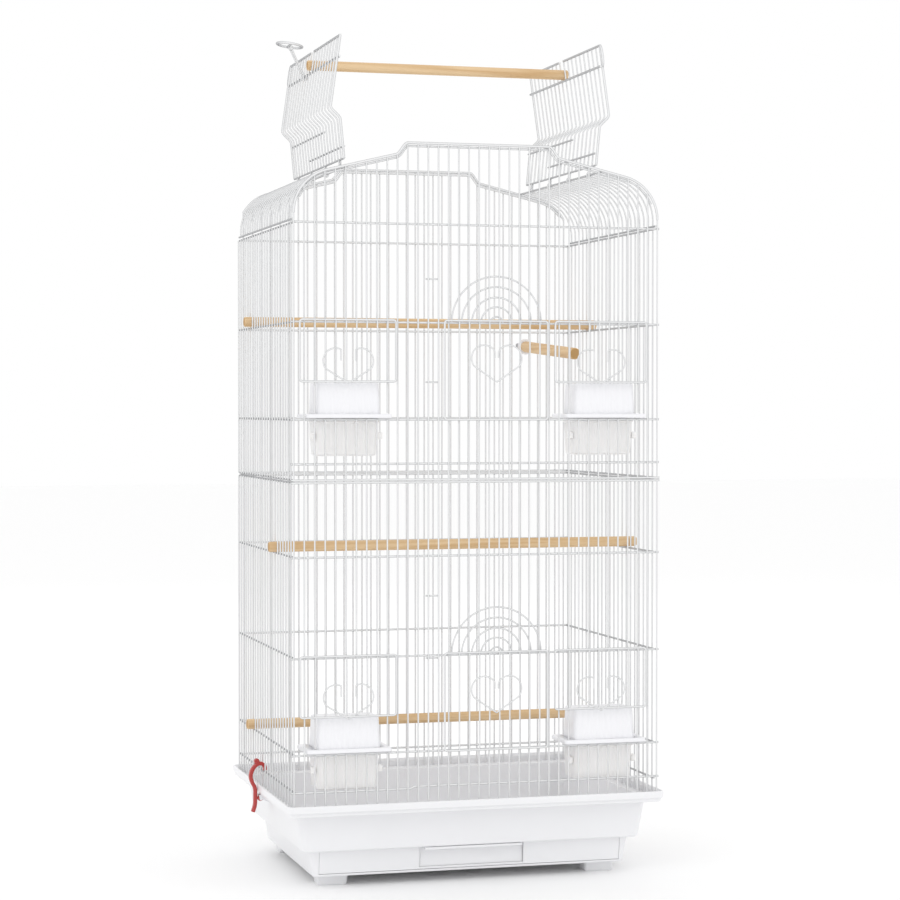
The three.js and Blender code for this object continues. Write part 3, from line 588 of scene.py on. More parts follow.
def ring_handle(sizes):
    """The ring, its cross wire and two stems that hook round the flap's carrier rail."""
    pivot = pivot_of("ring_pivot")
    cos, sin = math.cos(OPEN_ANGLE), math.sin(OPEN_ANGLE)
    out = np.array([cos, 0.0, sin])
    across = np.array([-sin, 0.0, cos])
    centre = pivot + 0.035 * out + 0.024 * across
    radius, stem_set = 0.0153, 0.004
    angle = 2 * np.pi * np.arange(48) / 48
    hoop = centre + radius * (np.cos(angle)[:, None] * ALONG_Y + np.sin(angle)[:, None] * across)
    parts = [tube(hoop, sizes.outline / 2, out, 10, closed=True)]
    parts.append(rods(centre - radius * ALONG_Y, centre + radius * ALONG_Y, sizes.rail / 2, across))
    stem = (centre - pivot) / np.linalg.norm(centre - pivot)
    beside = np.cross(stem, ALONG_Y)
    turn = np.linspace(math.radians(25), math.radians(320), 18)
    bend = sizes.outline / 2 + sizes.bar / 2 + 0.0009
    for side in (-1.0, 1.0):
        eye = pivot + bend * (np.cos(turn)[:, None] * stem + np.sin(turn)[:, None] * beside)
        path = np.concatenate([(centre + 0.0004 * beside)[None], eye]) + side * stem_set * ALONG_Y
        parts.append(tube(path, sizes.bar / 2, ALONG_Y, 8))
        collar = centre - 0.006 * stem + side * stem_set * ALONG_Y
        parts.append(rods(collar, collar + 0.004 * stem, 0.0021, ALONG_Y, 12))
    return merge(parts)


def wire_door(sizes, name, opening, heart_size):
    """A door: a frame with round corners, the bars in it and a heart."""
    first, last = OPENINGS[opening]
    y = -HALF_Y - 0.003
    left, right = low(name, 0) + CAD_RAIL / 2, high(name, 0) - CAD_RAIL / 2
    bottom, top = low(name, 2) + CAD_RAIL / 2, high(name, 2) - CAD_RAIL / 2
    bar, corner = sizes.bar, 0.003
    turn = np.linspace(0, np.pi / 2, 5)
    arc_x, arc_z = corner * (1 - np.cos(turn)), corner * (1 - np.sin(turn))
    x = np.concatenate([left + arc_x, right - arc_x[::-1], right - arc_x, left + arc_x[::-1]])
    z = np.concatenate([bottom + arc_z, bottom + arc_z[::-1], top - arc_z, top - arc_z[::-1]])
    return merge([
        tube(place(x, y, z), sizes.rail / 2, ALONG_Y, closed=True),
        uprights(front_x(np.arange(first + 1, last)), y + 0.0004, bottom, top, bar),
        *heart((left + right) / 2, y=y - 0.0006, gauge=bar * 0.9, **heart_size),
    ])


def carved(shape, *cutters):
    """A shape without the space of its cutters."""
    body = linked("carved", outward_mesh("carved", shape))
    made = [linked("cutter", outward_mesh("cutter", cutter)) for cutter in cutters]
    for cutter in made:
        cut = body.modifiers.new("cut", "BOOLEAN")
        cut.operation = "DIFFERENCE"
        cut.solver = "EXACT"
        cut.object = cutter
    depsgraph = bpy.context.evaluated_depsgraph_get()
    result = bpy.data.meshes.new_from_object(body.evaluated_get(depsgraph))
    points = np.zeros(3 * len(result.vertices))
    result.vertices.foreach_get("co", points)
    faces = [list(face.vertices) for face in result.polygons]
    for used in (body, *made):
        bpy.data.objects.remove(used)
    return points.reshape(-1, 3), faces


# Materials

def socket(group, name, kind, out=False, default=None):
    """A named input or output of a node group."""
    made = group.interface.new_socket(name=name, in_out="OUTPUT" if out else "INPUT", socket_type=kind)
    if default is not None:
        made.default_value = default
    return made


def speckle_group():
    """Fine unevenness of a skin: two noises of the object's own place, one coarse and one fine."""
    group = bpy.data.node_groups.new("Skin Unevenness", "ShaderNodeTree")
    socket(group, "Scale", "NodeSocketFloat", default=400.0)
    socket(group, "Spread", "NodeSocketFloat", default=0.1)
    socket(group, "Base Roughness", "NodeSocketFloat", default=0.4)
    socket(group, "Height", "NodeSocketFloat", out=True)
    socket(group, "Roughness", "NodeSocketFloat", out=True)
    socket(group, "Mask", "NodeSocketFloat", out=True)
    nodes, links = group.nodes, group.links
    inputs, outputs = nodes.new("NodeGroupInput"), nodes.new("NodeGroupOutput")
    where = nodes.new("ShaderNodeTexCoord")
    fine, coarse = nodes.new("ShaderNodeTexNoise"), nodes.new("ShaderNodeTexNoise")
    fine.inputs["Detail"].default_value = 3.0
    coarse.inputs["Scale"].default_value = 14.0
    coarse.inputs["Detail"].default_value = 4.0
    links.new(where.outputs["Object"], fine.inputs["Vector"])
    links.new(where.outputs["Object"], coarse.inputs["Vector"])
    links.new(inputs.outputs["Scale"], fine.inputs["Scale"])
    centred = nodes.new("ShaderNodeMath")
    centred.operation = "SUBTRACT"
    centred.inputs[1].default_value = 0.5
    links.new(coarse.outputs["Fac"], centred.inputs[0])
    spread = nodes.new("ShaderNodeMath")
    spread.operation = "MULTIPLY_ADD"
    links.new(centred.outputs[0], spread.inputs[0])
    links.new(inputs.outputs["Spread"], spread.inputs[1])
    links.new(inputs.outputs["Base Roughness"], spread.inputs[2])
    links.new(fine.outputs["Fac"], outputs.inputs["Height"])
    links.new(spread.outputs[0], outputs.inputs["Roughness"])
    links.new(coarse.outputs["Fac"], outputs.inputs["Mask"])
    return group


def grain_group():
    """Wood: long rings stretched along the dowel, bent by noise, with fine dark pores along it."""
    group = bpy.data.node_groups.new("Dowel Grain", "ShaderNodeTree")
    socket(group, "Light", "NodeSocketColor", default=(0.75, 0.48, 0.24, 1.0))
    socket(group, "Dark", "NodeSocketColor", default=(0.55, 0.31, 0.12, 1.0))
    socket(group, "Stretch", "NodeSocketVector", default=(4.0, 90.0, 90.0))
    socket(group, "Color", "NodeSocketColor", out=True)
    socket(group, "Height", "NodeSocketFloat", out=True)
    nodes, links = group.nodes, group.links
    inputs, outputs = nodes.new("NodeGroupInput"), nodes.new("NodeGroupOutput")
    where = nodes.new("ShaderNodeTexCoord")
    stretch = nodes.new("ShaderNodeVectorMath")
    stretch.operation = "MULTIPLY"
    links.new(where.outputs["Object"], stretch.inputs[0])
    links.new(inputs.outputs["Stretch"], stretch.inputs[1])
    rings, pores = nodes.new("ShaderNodeTexNoise"), nodes.new("ShaderNodeTexNoise")
    rings.inputs["Scale"].default_value = 1.6
    rings.inputs["Detail"].default_value = 5.0
    rings.inputs["Distortion"].default_value = 0.8
    pores.inputs["Scale"].default_value = 9.0
    pores.inputs["Detail"].default_value = 2.0
    links.new(stretch.outputs[0], rings.inputs["Vector"])
    links.new(stretch.outputs[0], pores.inputs["Vector"])
    band = nodes.new("ShaderNodeMapRange")
    band.inputs["From Min"].default_value = 0.35
    band.inputs["From Max"].default_value = 0.68
    links.new(rings.outputs["Fac"], band.inputs["Value"])
    blend = nodes.new("ShaderNodeMix")
    blend.data_type = "RGBA"
    links.new(band.outputs["Result"], blend.inputs["Factor"])
    links.new(inputs.outputs["Light"], blend.inputs["A"])
    links.new(inputs.outputs["Dark"], blend.inputs["B"])
    fleck = nodes.new("ShaderNodeMapRange")
    fleck.inputs["From Min"].default_value = 0.62
    fleck.inputs["From Max"].default_value = 0.75
    fleck.inputs["To Max"].default_value = 0.35
    links.new(pores.outputs["Fac"], fleck.inputs["Value"])
    flecked = nodes.new("ShaderNodeMix")
    flecked.data_type = "RGBA"
    links.new(fleck.outputs["Result"], flecked.inputs["Factor"])
    links.new(blend.outputs["Result"], flecked.inputs["A"])
    links.new(inputs.outputs["Dark"], flecked.inputs["B"])
    links.new(flecked.outputs["Result"], outputs.inputs["Color"])
    links.new(pores.outputs["Fac"], outputs.inputs["Height"])
    return group


def group_node(nodes, group_name, make):
    """A node of the named group, which is made at its first use."""
    node = nodes.new("ShaderNodeGroup")
    node.node_tree = bpy.data.node_groups.get(group_name) or make()
    return node


def principled(name):
    """A material with its nodes, links and shader, or with None for them if it is already there."""
    material = bpy.data.materials.get(name)
    if material:
        return material, None, None, None
    material = bpy.data.materials.new(name)
    material.use_nodes = True
    nodes, links = material.node_tree.nodes, material.node_tree.links
    return material, nodes, links, nodes["Principled BSDF"]


def skin(name, color, shade, roughness, scale, height, spread=0.12, coat=0.0, **extra):
    """A coated or moulded surface: two near tones mixed by a slow noise, with a fine orange-peel bump."""
    material, nodes, links, shader = principled(name)
    if nodes is None:
        return material
    uneven = group_node(nodes, "Skin Unevenness", speckle_group)
    uneven.inputs["Scale"].default_value = scale
    uneven.inputs["Spread"].default_value = spread
    uneven.inputs["Base Roughness"].default_value = roughness
    tone = nodes.new("ShaderNodeMix")
    tone.data_type = "RGBA"
    tone.inputs["A"].default_value = (*color, 1.0)
    tone.inputs["B"].default_value = (*shade, 1.0)
    links.new(uneven.outputs["Mask"], tone.inputs["Factor"])
    links.new(tone.outputs["Result"], shader.inputs["Base Color"])
    links.new(uneven.outputs["Roughness"], shader.inputs["Roughness"])
    bump = nodes.new("ShaderNodeBump")
    bump.inputs["Strength"].default_value = height
    bump.inputs["Distance"].default_value = 0.0002
    links.new(uneven.outputs["Height"], bump.inputs["Height"])
    links.new(bump.outputs["Normal"], shader.inputs["Normal"])
    shader.inputs["Coat Weight"].default_value = coat
    for socket_name, value in extra.items():
        shader.inputs[socket_name.replace("_", " ").title()].default_value = value
    return material


def wire_coat(looks):
    """White powder coat with painted shade. A round wire's rims turn away from the light, so its colour is
    mixed toward a dark tone where it slants.
    """
    name = "White Powder Coat"
    if bpy.data.materials.get(name):
        return bpy.data.materials[name]
    tone = looks.wire_color
    material = skin(name, tone, [0.95 * c for c in tone], 0.38, 1800.0, 0.25)
    nodes, links = material.node_tree.nodes, material.node_tree.links
    shader = nodes["Principled BSDF"]
    # Painted shade: a Layer Weight facing mask mixes the base colour toward a dark tone on the wire's
    # slanting rims.
    slant, rim = nodes.new("ShaderNodeLayerWeight"), nodes.new("ShaderNodeMix")
    slant.inputs["Blend"].default_value = 0.40
    rim.data_type = "RGBA"
    rim.inputs["B"].default_value = (*looks.wire_rim_painted_shade, 1.0)
    links.new(slant.outputs["Facing"], rim.inputs["Factor"])
    links.new(shader.inputs["Base Color"].links[0].from_socket, rim.inputs["A"])
    links.new(rim.outputs["Result"], shader.inputs["Base Color"])
    return material


def base_plastic(looks):
    """The base's pale, slightly glossy moulding."""
    tone = looks.base_color
    return skin("Pale Base Plastic", tone, [0.965 * c for c in tone], 0.33, 1400.0, 0.08, coat=0.15)


def white_plastic(looks):
    """The hoods' and the front washer's glossy white."""
    tone = looks.hood_color
    return skin("White Hood Plastic", tone, [0.97 * c for c in tone], 0.3, 1200.0, 0.08, coat=0.1)


def cup_plastic(looks):
    """The cups' milky plastic, which lets a little light through."""
    tone = looks.cup_color
    shade = [0.93 * c for c in tone]
    milk = {"subsurface_weight": 0.35, "subsurface_scale": 0.003, "subsurface_radius": (1.0, 0.95, 0.9)}
    return skin("Warm White Cup Plastic", tone, shade, 0.3, 900.0, 0.05, **milk)


def red_plastic(looks):
    """The latches' glossy red."""
    tone = looks.latch_color
    return skin("Red Latch Plastic", tone, [0.75 * c for c in tone], 0.28, 1100.0, 0.06, coat=0.2)


def plated_steel(looks):
    """The short perch's zinc plated fittings."""
    tone = looks.steel_color
    return skin("Zinc Plated Steel", tone, [0.8 * c for c in tone], 0.32, 900.0, 0.1, metallic=1.0)


def dowel_wood(looks, along):
    """Pale turned wood. The grain runs along X or along Y, as the dowel does."""
    name = "Perch Wood Along " + along
    material, nodes, links, shader = principled(name)
    if nodes is None:
        return material
    grain = group_node(nodes, "Dowel Grain", grain_group)
    light = looks.wood_color
    grain.inputs["Light"].default_value = (*light, 1.0)
    grain.inputs["Dark"].default_value = (0.78 * light[0], 0.68 * light[1], 0.55 * light[2], 1.0)
    grain.inputs["Stretch"].default_value = (4.0, 90.0, 90.0) if along == "X" else (90.0, 4.0, 90.0)
    links.new(grain.outputs["Color"], shader.inputs["Base Color"])
    bump = nodes.new("ShaderNodeBump")
    bump.inputs["Strength"].default_value = 0.25
    bump.inputs["Distance"].default_value = 0.0003
    links.new(grain.outputs["Height"], bump.inputs["Height"])
    links.new(bump.outputs["Normal"], shader.inputs["Normal"])
    shader.inputs["Roughness"].default_value = 0.62
    return material


def end_grain(looks):
    """The cut end of a dowel: darker wood with growth rings, a wave of the distance from an axis."""
    material, nodes, links, shader = principled("Perch End Grain")
    if nodes is None:
        return material
    where, rings = nodes.new("ShaderNodeTexCoord"), nodes.new("ShaderNodeTexWave")
    tone = nodes.new("ShaderNodeMix")
    rings.wave_type = "RINGS"
    rings.inputs["Scale"].default_value = 260.0
    rings.inputs["Distortion"].default_value = 3.0
    tone.data_type = "RGBA"
    light = looks.wood_color
    tone.inputs["A"].default_value = (0.72 * light[0], 0.60 * light[1], 0.42 * light[2], 1.0)
    tone.inputs["B"].default_value = (0.58 * light[0], 0.46 * light[1], 0.28 * light[2], 1.0)
    links.new(where.outputs["Object"], rings.inputs["Vector"])
    links.new(rings.outputs["Fac"], tone.inputs["Factor"])
    links.new(tone.outputs["Result"], shader.inputs["Base Color"])
    shader.inputs["Roughness"].default_value = 0.8
    return material


# Settings

def length(name, text, default):
    """A size in metres that a user may change."""
    return bpy.props.FloatProperty(
        name=name, description=text, default=default, min=0.0, unit="LENGTH", precision=5
    )


def tint(name, text, default):
    """A colour that a user may change."""
    return bpy.props.FloatVectorProperty(
        name=name, description=text, default=default, size=3, subtype="COLOR", min=0.0, max=1.0
    )


class BirdCageSizes(bpy.types.PropertyGroup):
    bar: length("Bar gauge", "Diameter of the upright bars", 0.0019)
    rail: length("Rail gauge", "Diameter of the level wires", 0.0024)
    outline: length("Outline gauge", "Diameter of the roof outline and the ring", 0.0030)
    outline_gap: length("Outline gap", "Between the roof outline and the second wire under it", 0.0035)
    hook: length("Hook reach", "How far the front's rails stand out past the corners", 0.0030)
    chamfer: length("Perch chamfer", "Width of the cut edge at a perch's end", 0.0008)
    wall: length("Plastic wall", "Thickness of the moulded base", 0.0022)


class BirdCageLooks(bpy.types.PropertyGroup):
    wire_color: tint("Wire", "Powder coat of the wires", (0.86, 0.865, 0.87))
    # Painted shade: the dark tone mixed into the wire's colour on its slanting rims.
    wire_rim_painted_shade: tint("Wire rims", "Tone of a wire's slanting sides", (0.16, 0.165, 0.18))
    base_color: tint("Base", "Moulded base and drawer", (0.88, 0.882, 0.90))
    hood_color: tint("Hood", "Feeder hoods", (0.90, 0.90, 0.925))
    cup_color: tint("Cup", "Feeder cups", (0.96, 0.945, 0.935))
    wood_color: tint("Wood", "Perches", (0.77, 0.56, 0.33))
    latch_color: tint("Latch", "Rim latches", (0.52, 0.05, 0.045))
    steel_color: tint("Steel", "Bolt, washer and wing nut", (0.66, 0.66, 0.67))
    floor_color: tint("Floor", "Studio floor", (0.985, 0.985, 0.985))


# Operators

class BIRDCAGE_OT_panels(bpy.types.Operator):
    """Make the front, back and side panels of round wire"""

    bl_idname = "birdcage.panels"
    bl_label = "Wire Panels"

    def execute(self, context):
        sizes, coat = context.scene.birdcage_sizes, wire_coat(context.scene.birdcage_looks)
        lower = ("bottom", "lower_sill", "lower_head", "middle", "joint_below")
        upper = ("joint_above", "upper_sill", "upper_head", "shoulder")
        shapes = {
            "front_panel_lower": front_lower(sizes),
            "front_panel_upper": front_upper(sizes),
            "back_panel_lower": back_panel(sizes, LEVEL["foot"], LEVEL["joint_below"], lower),
            "back_panel_upper": back_panel(sizes, LEVEL["joint_above"], None, upper),
        }
        for name, side in SIDES.items():
            for tier, start, end, rails in (
                ("lower", LEVEL["foot"], LEVEL["joint_below"], lower),
                ("upper", LEVEL["joint_above"], LEVEL["shoulder"], upper),
            ):
                shapes[f"{name}_panel_{tier}"] = side_panel(sizes, side, start, end, rails)
        for name, shape in shapes.items():
            build("round_" + name, shape, coat, "cage", (name,))
        return {"FINISHED"}


class BIRDCAGE_OT_roof(bpy.types.Operator):
    """Make the roof's shoulders, flaps and ring handle of round wire"""

    bl_idname = "birdcage.roof"
    bl_label = "Roof"

    def execute(self, context):
        sizes, coat = context.scene.birdcage_sizes, wire_coat(context.scene.birdcage_looks)
        for name, side in SIDES.items():
            bent, lifting = shoulder(sizes, side), flap(sizes, side)
            body = f"flap_{name}"
            build(f"round_shoulder_{name}", bent, coat, "cage", (f"roof_shoulder_{name}",))
            build(f"round_flap_{name}", lifting, coat, body, (f"roof_flap_{name}",))
        build("round_ring_handle", ring_handle(sizes), coat, "ring", ("ring_handle",))
        return {"FINISHED"}


class BIRDCAGE_OT_doors(bpy.types.Operator):
    """Make the six lift-up doors with their hearts"""

    bl_idname = "birdcage.doors"
    bl_label = "Doors"

    def execute(self, context):
        sizes, coat = context.scene.birdcage_sizes, wire_coat(context.scene.birdcage_looks)
        for tier in TIERS:
            head = LEVEL[tier + "_head"]
            wide_heart = {"tip": head - 0.0671, "width": 0.060, "height": 0.042, "gap": 0.004}
            open_heart = {"tip": head - 0.0685, "width": 0.058, "height": 0.039, "gap": 0.017}
            doors = {f"centre_door_{tier}": ("centre", wide_heart)}
            doors.update({f"feeder_door_{tier}_{side}": (side, open_heart) for side in SIDES})
            for name, (opening, heart_size) in doors.items():
                shape = wire_door(sizes, name, opening, heart_size)
                build("round_" + name, shape, coat, name, (name,))
        return {"FINISHED"}


def base_sections(wall):
    """The outlines of the base from the bottom up, with softened turns, drawn in by a wall. Each row is
    the inset along X and along Y, the corner radius and the height, and a floor is as thick as the wall."""
    rows = (
        (0.0297, 0.0335, 0.006, 0.0124),
        (0.0287, 0.0325, 0.007, 0.0134),
        (0.0244, 0.0285, 0.008, 0.0424),
        (0.0238, 0.0279, 0.008, 0.0430),
        (0.0155, 0.0200, 0.009, 0.0431),
        (0.0140, 0.0185, 0.009, 0.0446),
        (0.0072, 0.0152, 0.009, 0.0845),
    )
    return [
        (HALF_X - x - wall, HALF_Y - y - wall, max(corner - wall, 0.002), z + (wall if z < 0.06 else 0.0))
        for x, y, corner, z in rows
    ]


class BIRDCAGE_OT_base(bpy.types.Operator):
    """Make the moulded base with its rim, feet and lugs, and the drawer"""

    bl_idname = "birdcage.base"
    bl_label = "Base"

    def execute(self, context):
        sizes, looks = context.scene.birdcage_sizes, context.scene.birdcage_looks
        plastic = base_plastic(looks)
        lip_x, lip_y = high("base_tub", 0), high("base_tub", 1)
        rim_top, wall = high("base_tub", 2), sizes.wall
        under, floor = 0.087, 0.090
        outside = base_sections(0.0) + [
            (HALF_X - 0.0070, HALF_Y - 0.0150, 0.008, under - 0.0008),
            (HALF_X - 0.0060, HALF_Y - 0.0140, 0.008, under),
            (lip_x - 0.0036, lip_y - 0.0036, 0.0050, under + 0.0002),
            (lip_x - 0.0028, lip_y - 0.0028, 0.0056, under + 0.0010),
            (lip_x - 0.0026, lip_y - 0.0026, 0.0058, rim_top - 0.0082),
            (lip_x - 0.0006, lip_y - 0.0006, 0.0072, rim_top - 0.0080),
            (lip_x, lip_y, 0.0078, rim_top - 0.0074),
            (lip_x, lip_y, 0.0078, rim_top - 0.0008),
            (lip_x - 0.0007, lip_y - 0.0007, 0.0072, rim_top),
        ]
        inside = [(HALF_X - 0.030 - wall, HALF_Y - 0.034 - wall, 0.005, 0.0146)]
        inside += base_sections(wall)[1:] + [
            (HALF_X - 0.0070 - wall, HALF_Y - 0.0150 - wall, 0.006, floor - 0.0006),
            (HALF_X - 0.0062 - wall, HALF_Y - 0.0142 - wall, 0.006, floor),
            (lip_x - 0.0026 - wall, lip_y - 0.0026 - wall, 0.0040, floor + 0.0001),
            (lip_x - 0.0026 - wall, lip_y - 0.0026 - wall, 0.0040, rim_top - 0.0030),
            (lip_x - wall, lip_y - wall, 0.0056, rim_top - 0.0008),
            (lip_x - wall + 0.0005, lip_y - wall + 0.0005, 0.0062, rim_top),
        ]
        shell = loft(outside + inside[::-1], 10)
        half_mouth = high("drawer", 0) + 0.0003
        mouth_low, mouth_high = low("drawer", 2) - 0.0004, 0.0434
        mouth_centre = (0.0, -HALF_Y + 0.022, (mouth_low + mouth_high) / 2)
        tub = carved(shell, chamfer(half_mouth, 0.02, (mouth_high - mouth_low) / 2, mouth_centre, 0.0002))
        build("moulded_base", tub, plastic, "cage", ("base_tub",), smooth=32.0)
        extras = feet() + latch_lugs(under)
        build("moulded_feet_and_lugs", merge(extras), plastic, "cage", (), smooth=32.0)
        drawer_front(looks)
        return {"FINISHED"}


def feet():
    """Four feet that widen upwards, set in from the corners."""
    points, faces = loft([
        (0.0165, 0.0110, 0.003, 0.0),
        (0.0173, 0.0118, 0.004, 0.0008),
        (0.01875, 0.0130, 0.005, 0.0130),
    ], 5)
    foot_x, foot_y = HALF_X - 0.05475, HALF_Y - 0.058
    return [
        (points + np.array([side_x * foot_x, side_y * foot_y, 0.0]), faces)
        for side_x in (-1.0, 1.0)
        for side_y in (-1.0, 1.0)
    ]


def latch_lugs(under):
    """Two rounded cheeks under the rim on each side, with the pin between them."""
    cheek_radius, cheek_near, cheek_far, pin_radius = 0.0022, 0.0038, 0.0058, 0.0013
    parts = []
    for name, side in SIDES.items():
        pivot = pivot_of(f"rim_latch_{name}_pivot")
        for way in (-1.0, 1.0):
            turn = np.linspace(math.radians(-60), math.radians(-150), 8)
            arc_x = pivot[0] + side * cheek_radius * np.cos(turn)
            arc_z = pivot[2] + cheek_radius * np.sin(turn)
            root, roof = side * (HALF_X - 0.008), under + 0.0005
            x = np.concatenate([[pivot[0] + side * 0.002], arc_x, [root, root]])
            z = np.concatenate([[roof], arc_z, [pivot[2] - 0.006, roof]])
            parts.append(stack([place(x, pivot[1] + way * y, z) for y in (cheek_near, cheek_far)]))
        reach = 0.0055 * ALONG_Y
        parts.append(rods(pivot - reach, pivot + reach, pin_radius, UP, 16))
    return parts


def drawer_front(looks):
    """The drawer: a thin tray and a front with a recess, its floor, and a rolled pull lip over it."""
    plastic = base_plastic(looks)
    half = high("drawer", 0)
    bottom, top = low("drawer", 2), high("drawer", 2)
    back = high("drawer", 1)
    lean = 0.0041 / 0.0306
    face = -(HALF_Y - 0.0325)

    def slab(x0, x1, z0, z1):
        """A leaning plate with a softened edge all round: four points each way on its front."""
        edge, thick = 0.0005, 0.003
        xs = np.array([x0, x0 + edge, x1 - edge, x1])
        zs = np.array([z0, z0 + edge, z1 - edge, z1])
        grid_x, grid_z = np.meshgrid(xs, zs)
        rim = np.ones_like(grid_x)
        rim[1:-1, 1:-1] = 0.0
        front = face - lean * (grid_z - 0.0124) + rim * edge
        near = place(grid_x.ravel(), front.ravel(), grid_z.ravel())
        far = place(grid_x.ravel(), (front + thick).ravel(), grid_z.ravel())
        cells = []
        for r in range(3):
            for c in range(3):
                a = 4 * r + c
                cells.append([a, a + 1, a + 5, a + 4])
                cells.append([16 + a, 16 + a + 4, 16 + a + 5, 16 + a + 1])
        loop = [0, 1, 2, 3, 7, 11, 15, 14, 13, 12, 8, 4]
        for a, b in zip(loop, loop[1:] + loop[:1]):
            cells.append([a, a + 16, b + 16, b])
        return np.concatenate([near, far]), cells

    grip = 0.0625
    sill = bottom + 0.003
    pocket_back = face - lean * 0.030 + 0.0045
    parts = [
        slab(-half, -grip, bottom, top),
        slab(grip, half, bottom, top),
        slab(-grip - 0.0004, grip + 0.0004, bottom, sill),
    ]
    middle_z = (bottom + top) / 2
    half_z = (top - bottom) / 2
    parts.append(chamfer(grip + 0.002, 0.001, half_z, (0.0, pocket_back + 0.001, middle_z)))
    deep = (pocket_back - face + 0.004) / 2
    for side in (-1.0, 1.0):
        parts.append(chamfer(0.001, deep, half_z, (side * (grip + 0.001), face + deep - 0.001, middle_z)))
    parts.append(chamfer(grip + 0.001, deep, 0.001, (0.0, face + deep - 0.001, sill - 0.001)))
    parts.append(pull_lip(top, pocket_back))
    start, wall = face + 0.003, 0.002
    half_depth = (back - start) / 2
    centre_y = (back + start) / 2
    tray_top = top - 0.0015
    half_tray = (tray_top - bottom) / 2
    tray_z = (tray_top + bottom) / 2
    parts.append(chamfer(half, half_depth, wall / 2, (0.0, centre_y, bottom + wall / 2)))
    parts.append(chamfer(half, wall / 2, half_tray, (0.0, back - wall / 2, tray_z)))
    parts.append(chamfer(half, wall / 2, half_tray, (0.0, start + wall / 2, tray_z)))
    for side in (-1.0, 1.0):
        parts.append(chamfer(wall / 2, half_depth, half_tray, (side * (half - wall / 2), centre_y, tray_z)))
    build("moulded_drawer", merge(parts), plastic, "drawer", ("drawer",), smooth=32.0)


def pull_lip(top, pocket_back):
    """The pull lip: a section of a flat top with a rolled front edge, carried across the recess."""
    half, thick = 0.058, 0.003
    front = low("drawer", 1)
    turn = np.linspace(np.pi / 2, 3 * np.pi / 2, 9)
    round_y = front + thick / 2 + thick / 2 * np.cos(turn)
    round_z = top - thick / 2 + thick / 2 * np.sin(turn)
    section_y = np.concatenate([[pocket_back + 0.001], round_y, [pocket_back + 0.001]])
    section_z = np.concatenate([[top], round_z, [top - thick]])
    rolled = section_y < front + thick
    ends = ((-half, 0.0008), (-half + 0.001, 0.0), (half - 0.001, 0.0), (half, 0.0008))
    return stack([place(x, section_y + np.where(rolled, set_in, 0.0), section_z) for x, set_in in ends])


class BIRDCAGE_OT_feeders(bpy.types.Operator):
    """Make the four hoods with their flanges and ribs, and the four translucent cups"""

    bl_idname = "birdcage.feeders"
    bl_label = "Feeders"

    def execute(self, context):
        looks = context.scene.birdcage_looks
        white, milky = white_plastic(looks), cup_plastic(looks)
        for tier in TIERS:
            for side in SIDES:
                hood = f"feeder_hood_{tier}_{side}"
                cup = f"feeder_cup_{tier}_{side}"
                body = f"feeder_{tier}_{side}"
                build("ribbed_" + hood, hood_shape(hood), white, body, (hood,), 30.0)
                build("clear_" + cup, cup_shape(cup), milky, body, (cup,), 35.0)
        return {"FINISHED"}


def ribbed(half_x, half_y, radius, z, depth, ribs, steps=8, per_side=49):
    """A level outline whose long front and back sides carry upright ribs: a cosine wave of a depth."""
    ring = rounded_ring(half_x, half_y, radius, z, steps)
    rows = []
    count = len(ring)
    for i in range(4):
        corner = ring[i * (steps + 1):(i + 1) * (steps + 1)]
        rows.append(corner)
        start, end = corner[-1], ring[((i + 1) * (steps + 1)) % count]
        amount = np.linspace(0, 1, per_side + 2)[1:-1, None]
        side = start * (1 - amount) + end * amount
        if i % 2 == 0:
            wave = depth * 0.5 * (1 - np.cos(2 * np.pi * ribs * amount[:, 0]))
            side[:, 1] -= np.sign(side[:, 1]) * wave
        rows.append(side)
    return np.concatenate(rows)


def hood_shape(node):
    """A cover with ribbed faces, open below and behind, over a flange with a rolled edge."""
    (x0, y0, z0), (x1, y1, z1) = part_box(node)
    centre_x = (x0 + x1) / 2
    flange_top = z0 + 0.0047
    front = -HALF_Y + 0.0010
    half_y = 0.022
    centre = np.array([centre_x, front + half_y, 0.0])
    wall = 0.0018
    ribs = 9
    points, faces = stack([
        ribbed(0.0372, half_y, 0.005, flange_top - 0.0005, 0.0006, ribs),
        ribbed(0.0360, half_y - 0.0020, 0.005, z1 - 0.0016, 0.0006, ribs),
        ribbed(0.0356, half_y - 0.0024, 0.0048, z1 - 0.0004, 0.0004, ribs),
        ribbed(0.0345, half_y - 0.0035, 0.0040, z1, 0.0, ribs),
    ])
    cavity = loft([
        (0.0372 - wall, half_y - wall, 0.003, z0 - 0.002),
        (0.0372 - wall, half_y - wall, 0.003, flange_top),
        (0.0352 - wall, half_y - 0.0028 - wall, 0.003, z1 - wall),
    ], 6)
    cavity = (cavity[0] + centre, cavity[1])
    mouth_low, mouth_high = flange_top + 0.002, z1 - 0.006
    mouth_centre = (centre_x, front + 2 * half_y, (mouth_low + mouth_high) / 2)
    mouth = chamfer(0.0300, half_y, (mouth_high - mouth_low) / 2, mouth_centre, 0.003)
    cover = carved((points + centre, faces), cavity, mouth)
    half_flange = (x1 - x0) / 2
    depth = (y1 - y0) / 2
    points, faces = loft([
        (half_flange - 0.0008, depth - 0.0008, 0.0032, z0),
        (half_flange, depth, 0.004, z0 + 0.0008),
        (half_flange, depth, 0.004, flange_top - 0.0010),
        (half_flange - 0.0010, depth - 0.0010, 0.003, flange_top),
    ], 6)
    flange = carved((points + np.array([centre_x, (y0 + y1) / 2, 0.0]), faces), cavity)
    return merge([cover, flange])


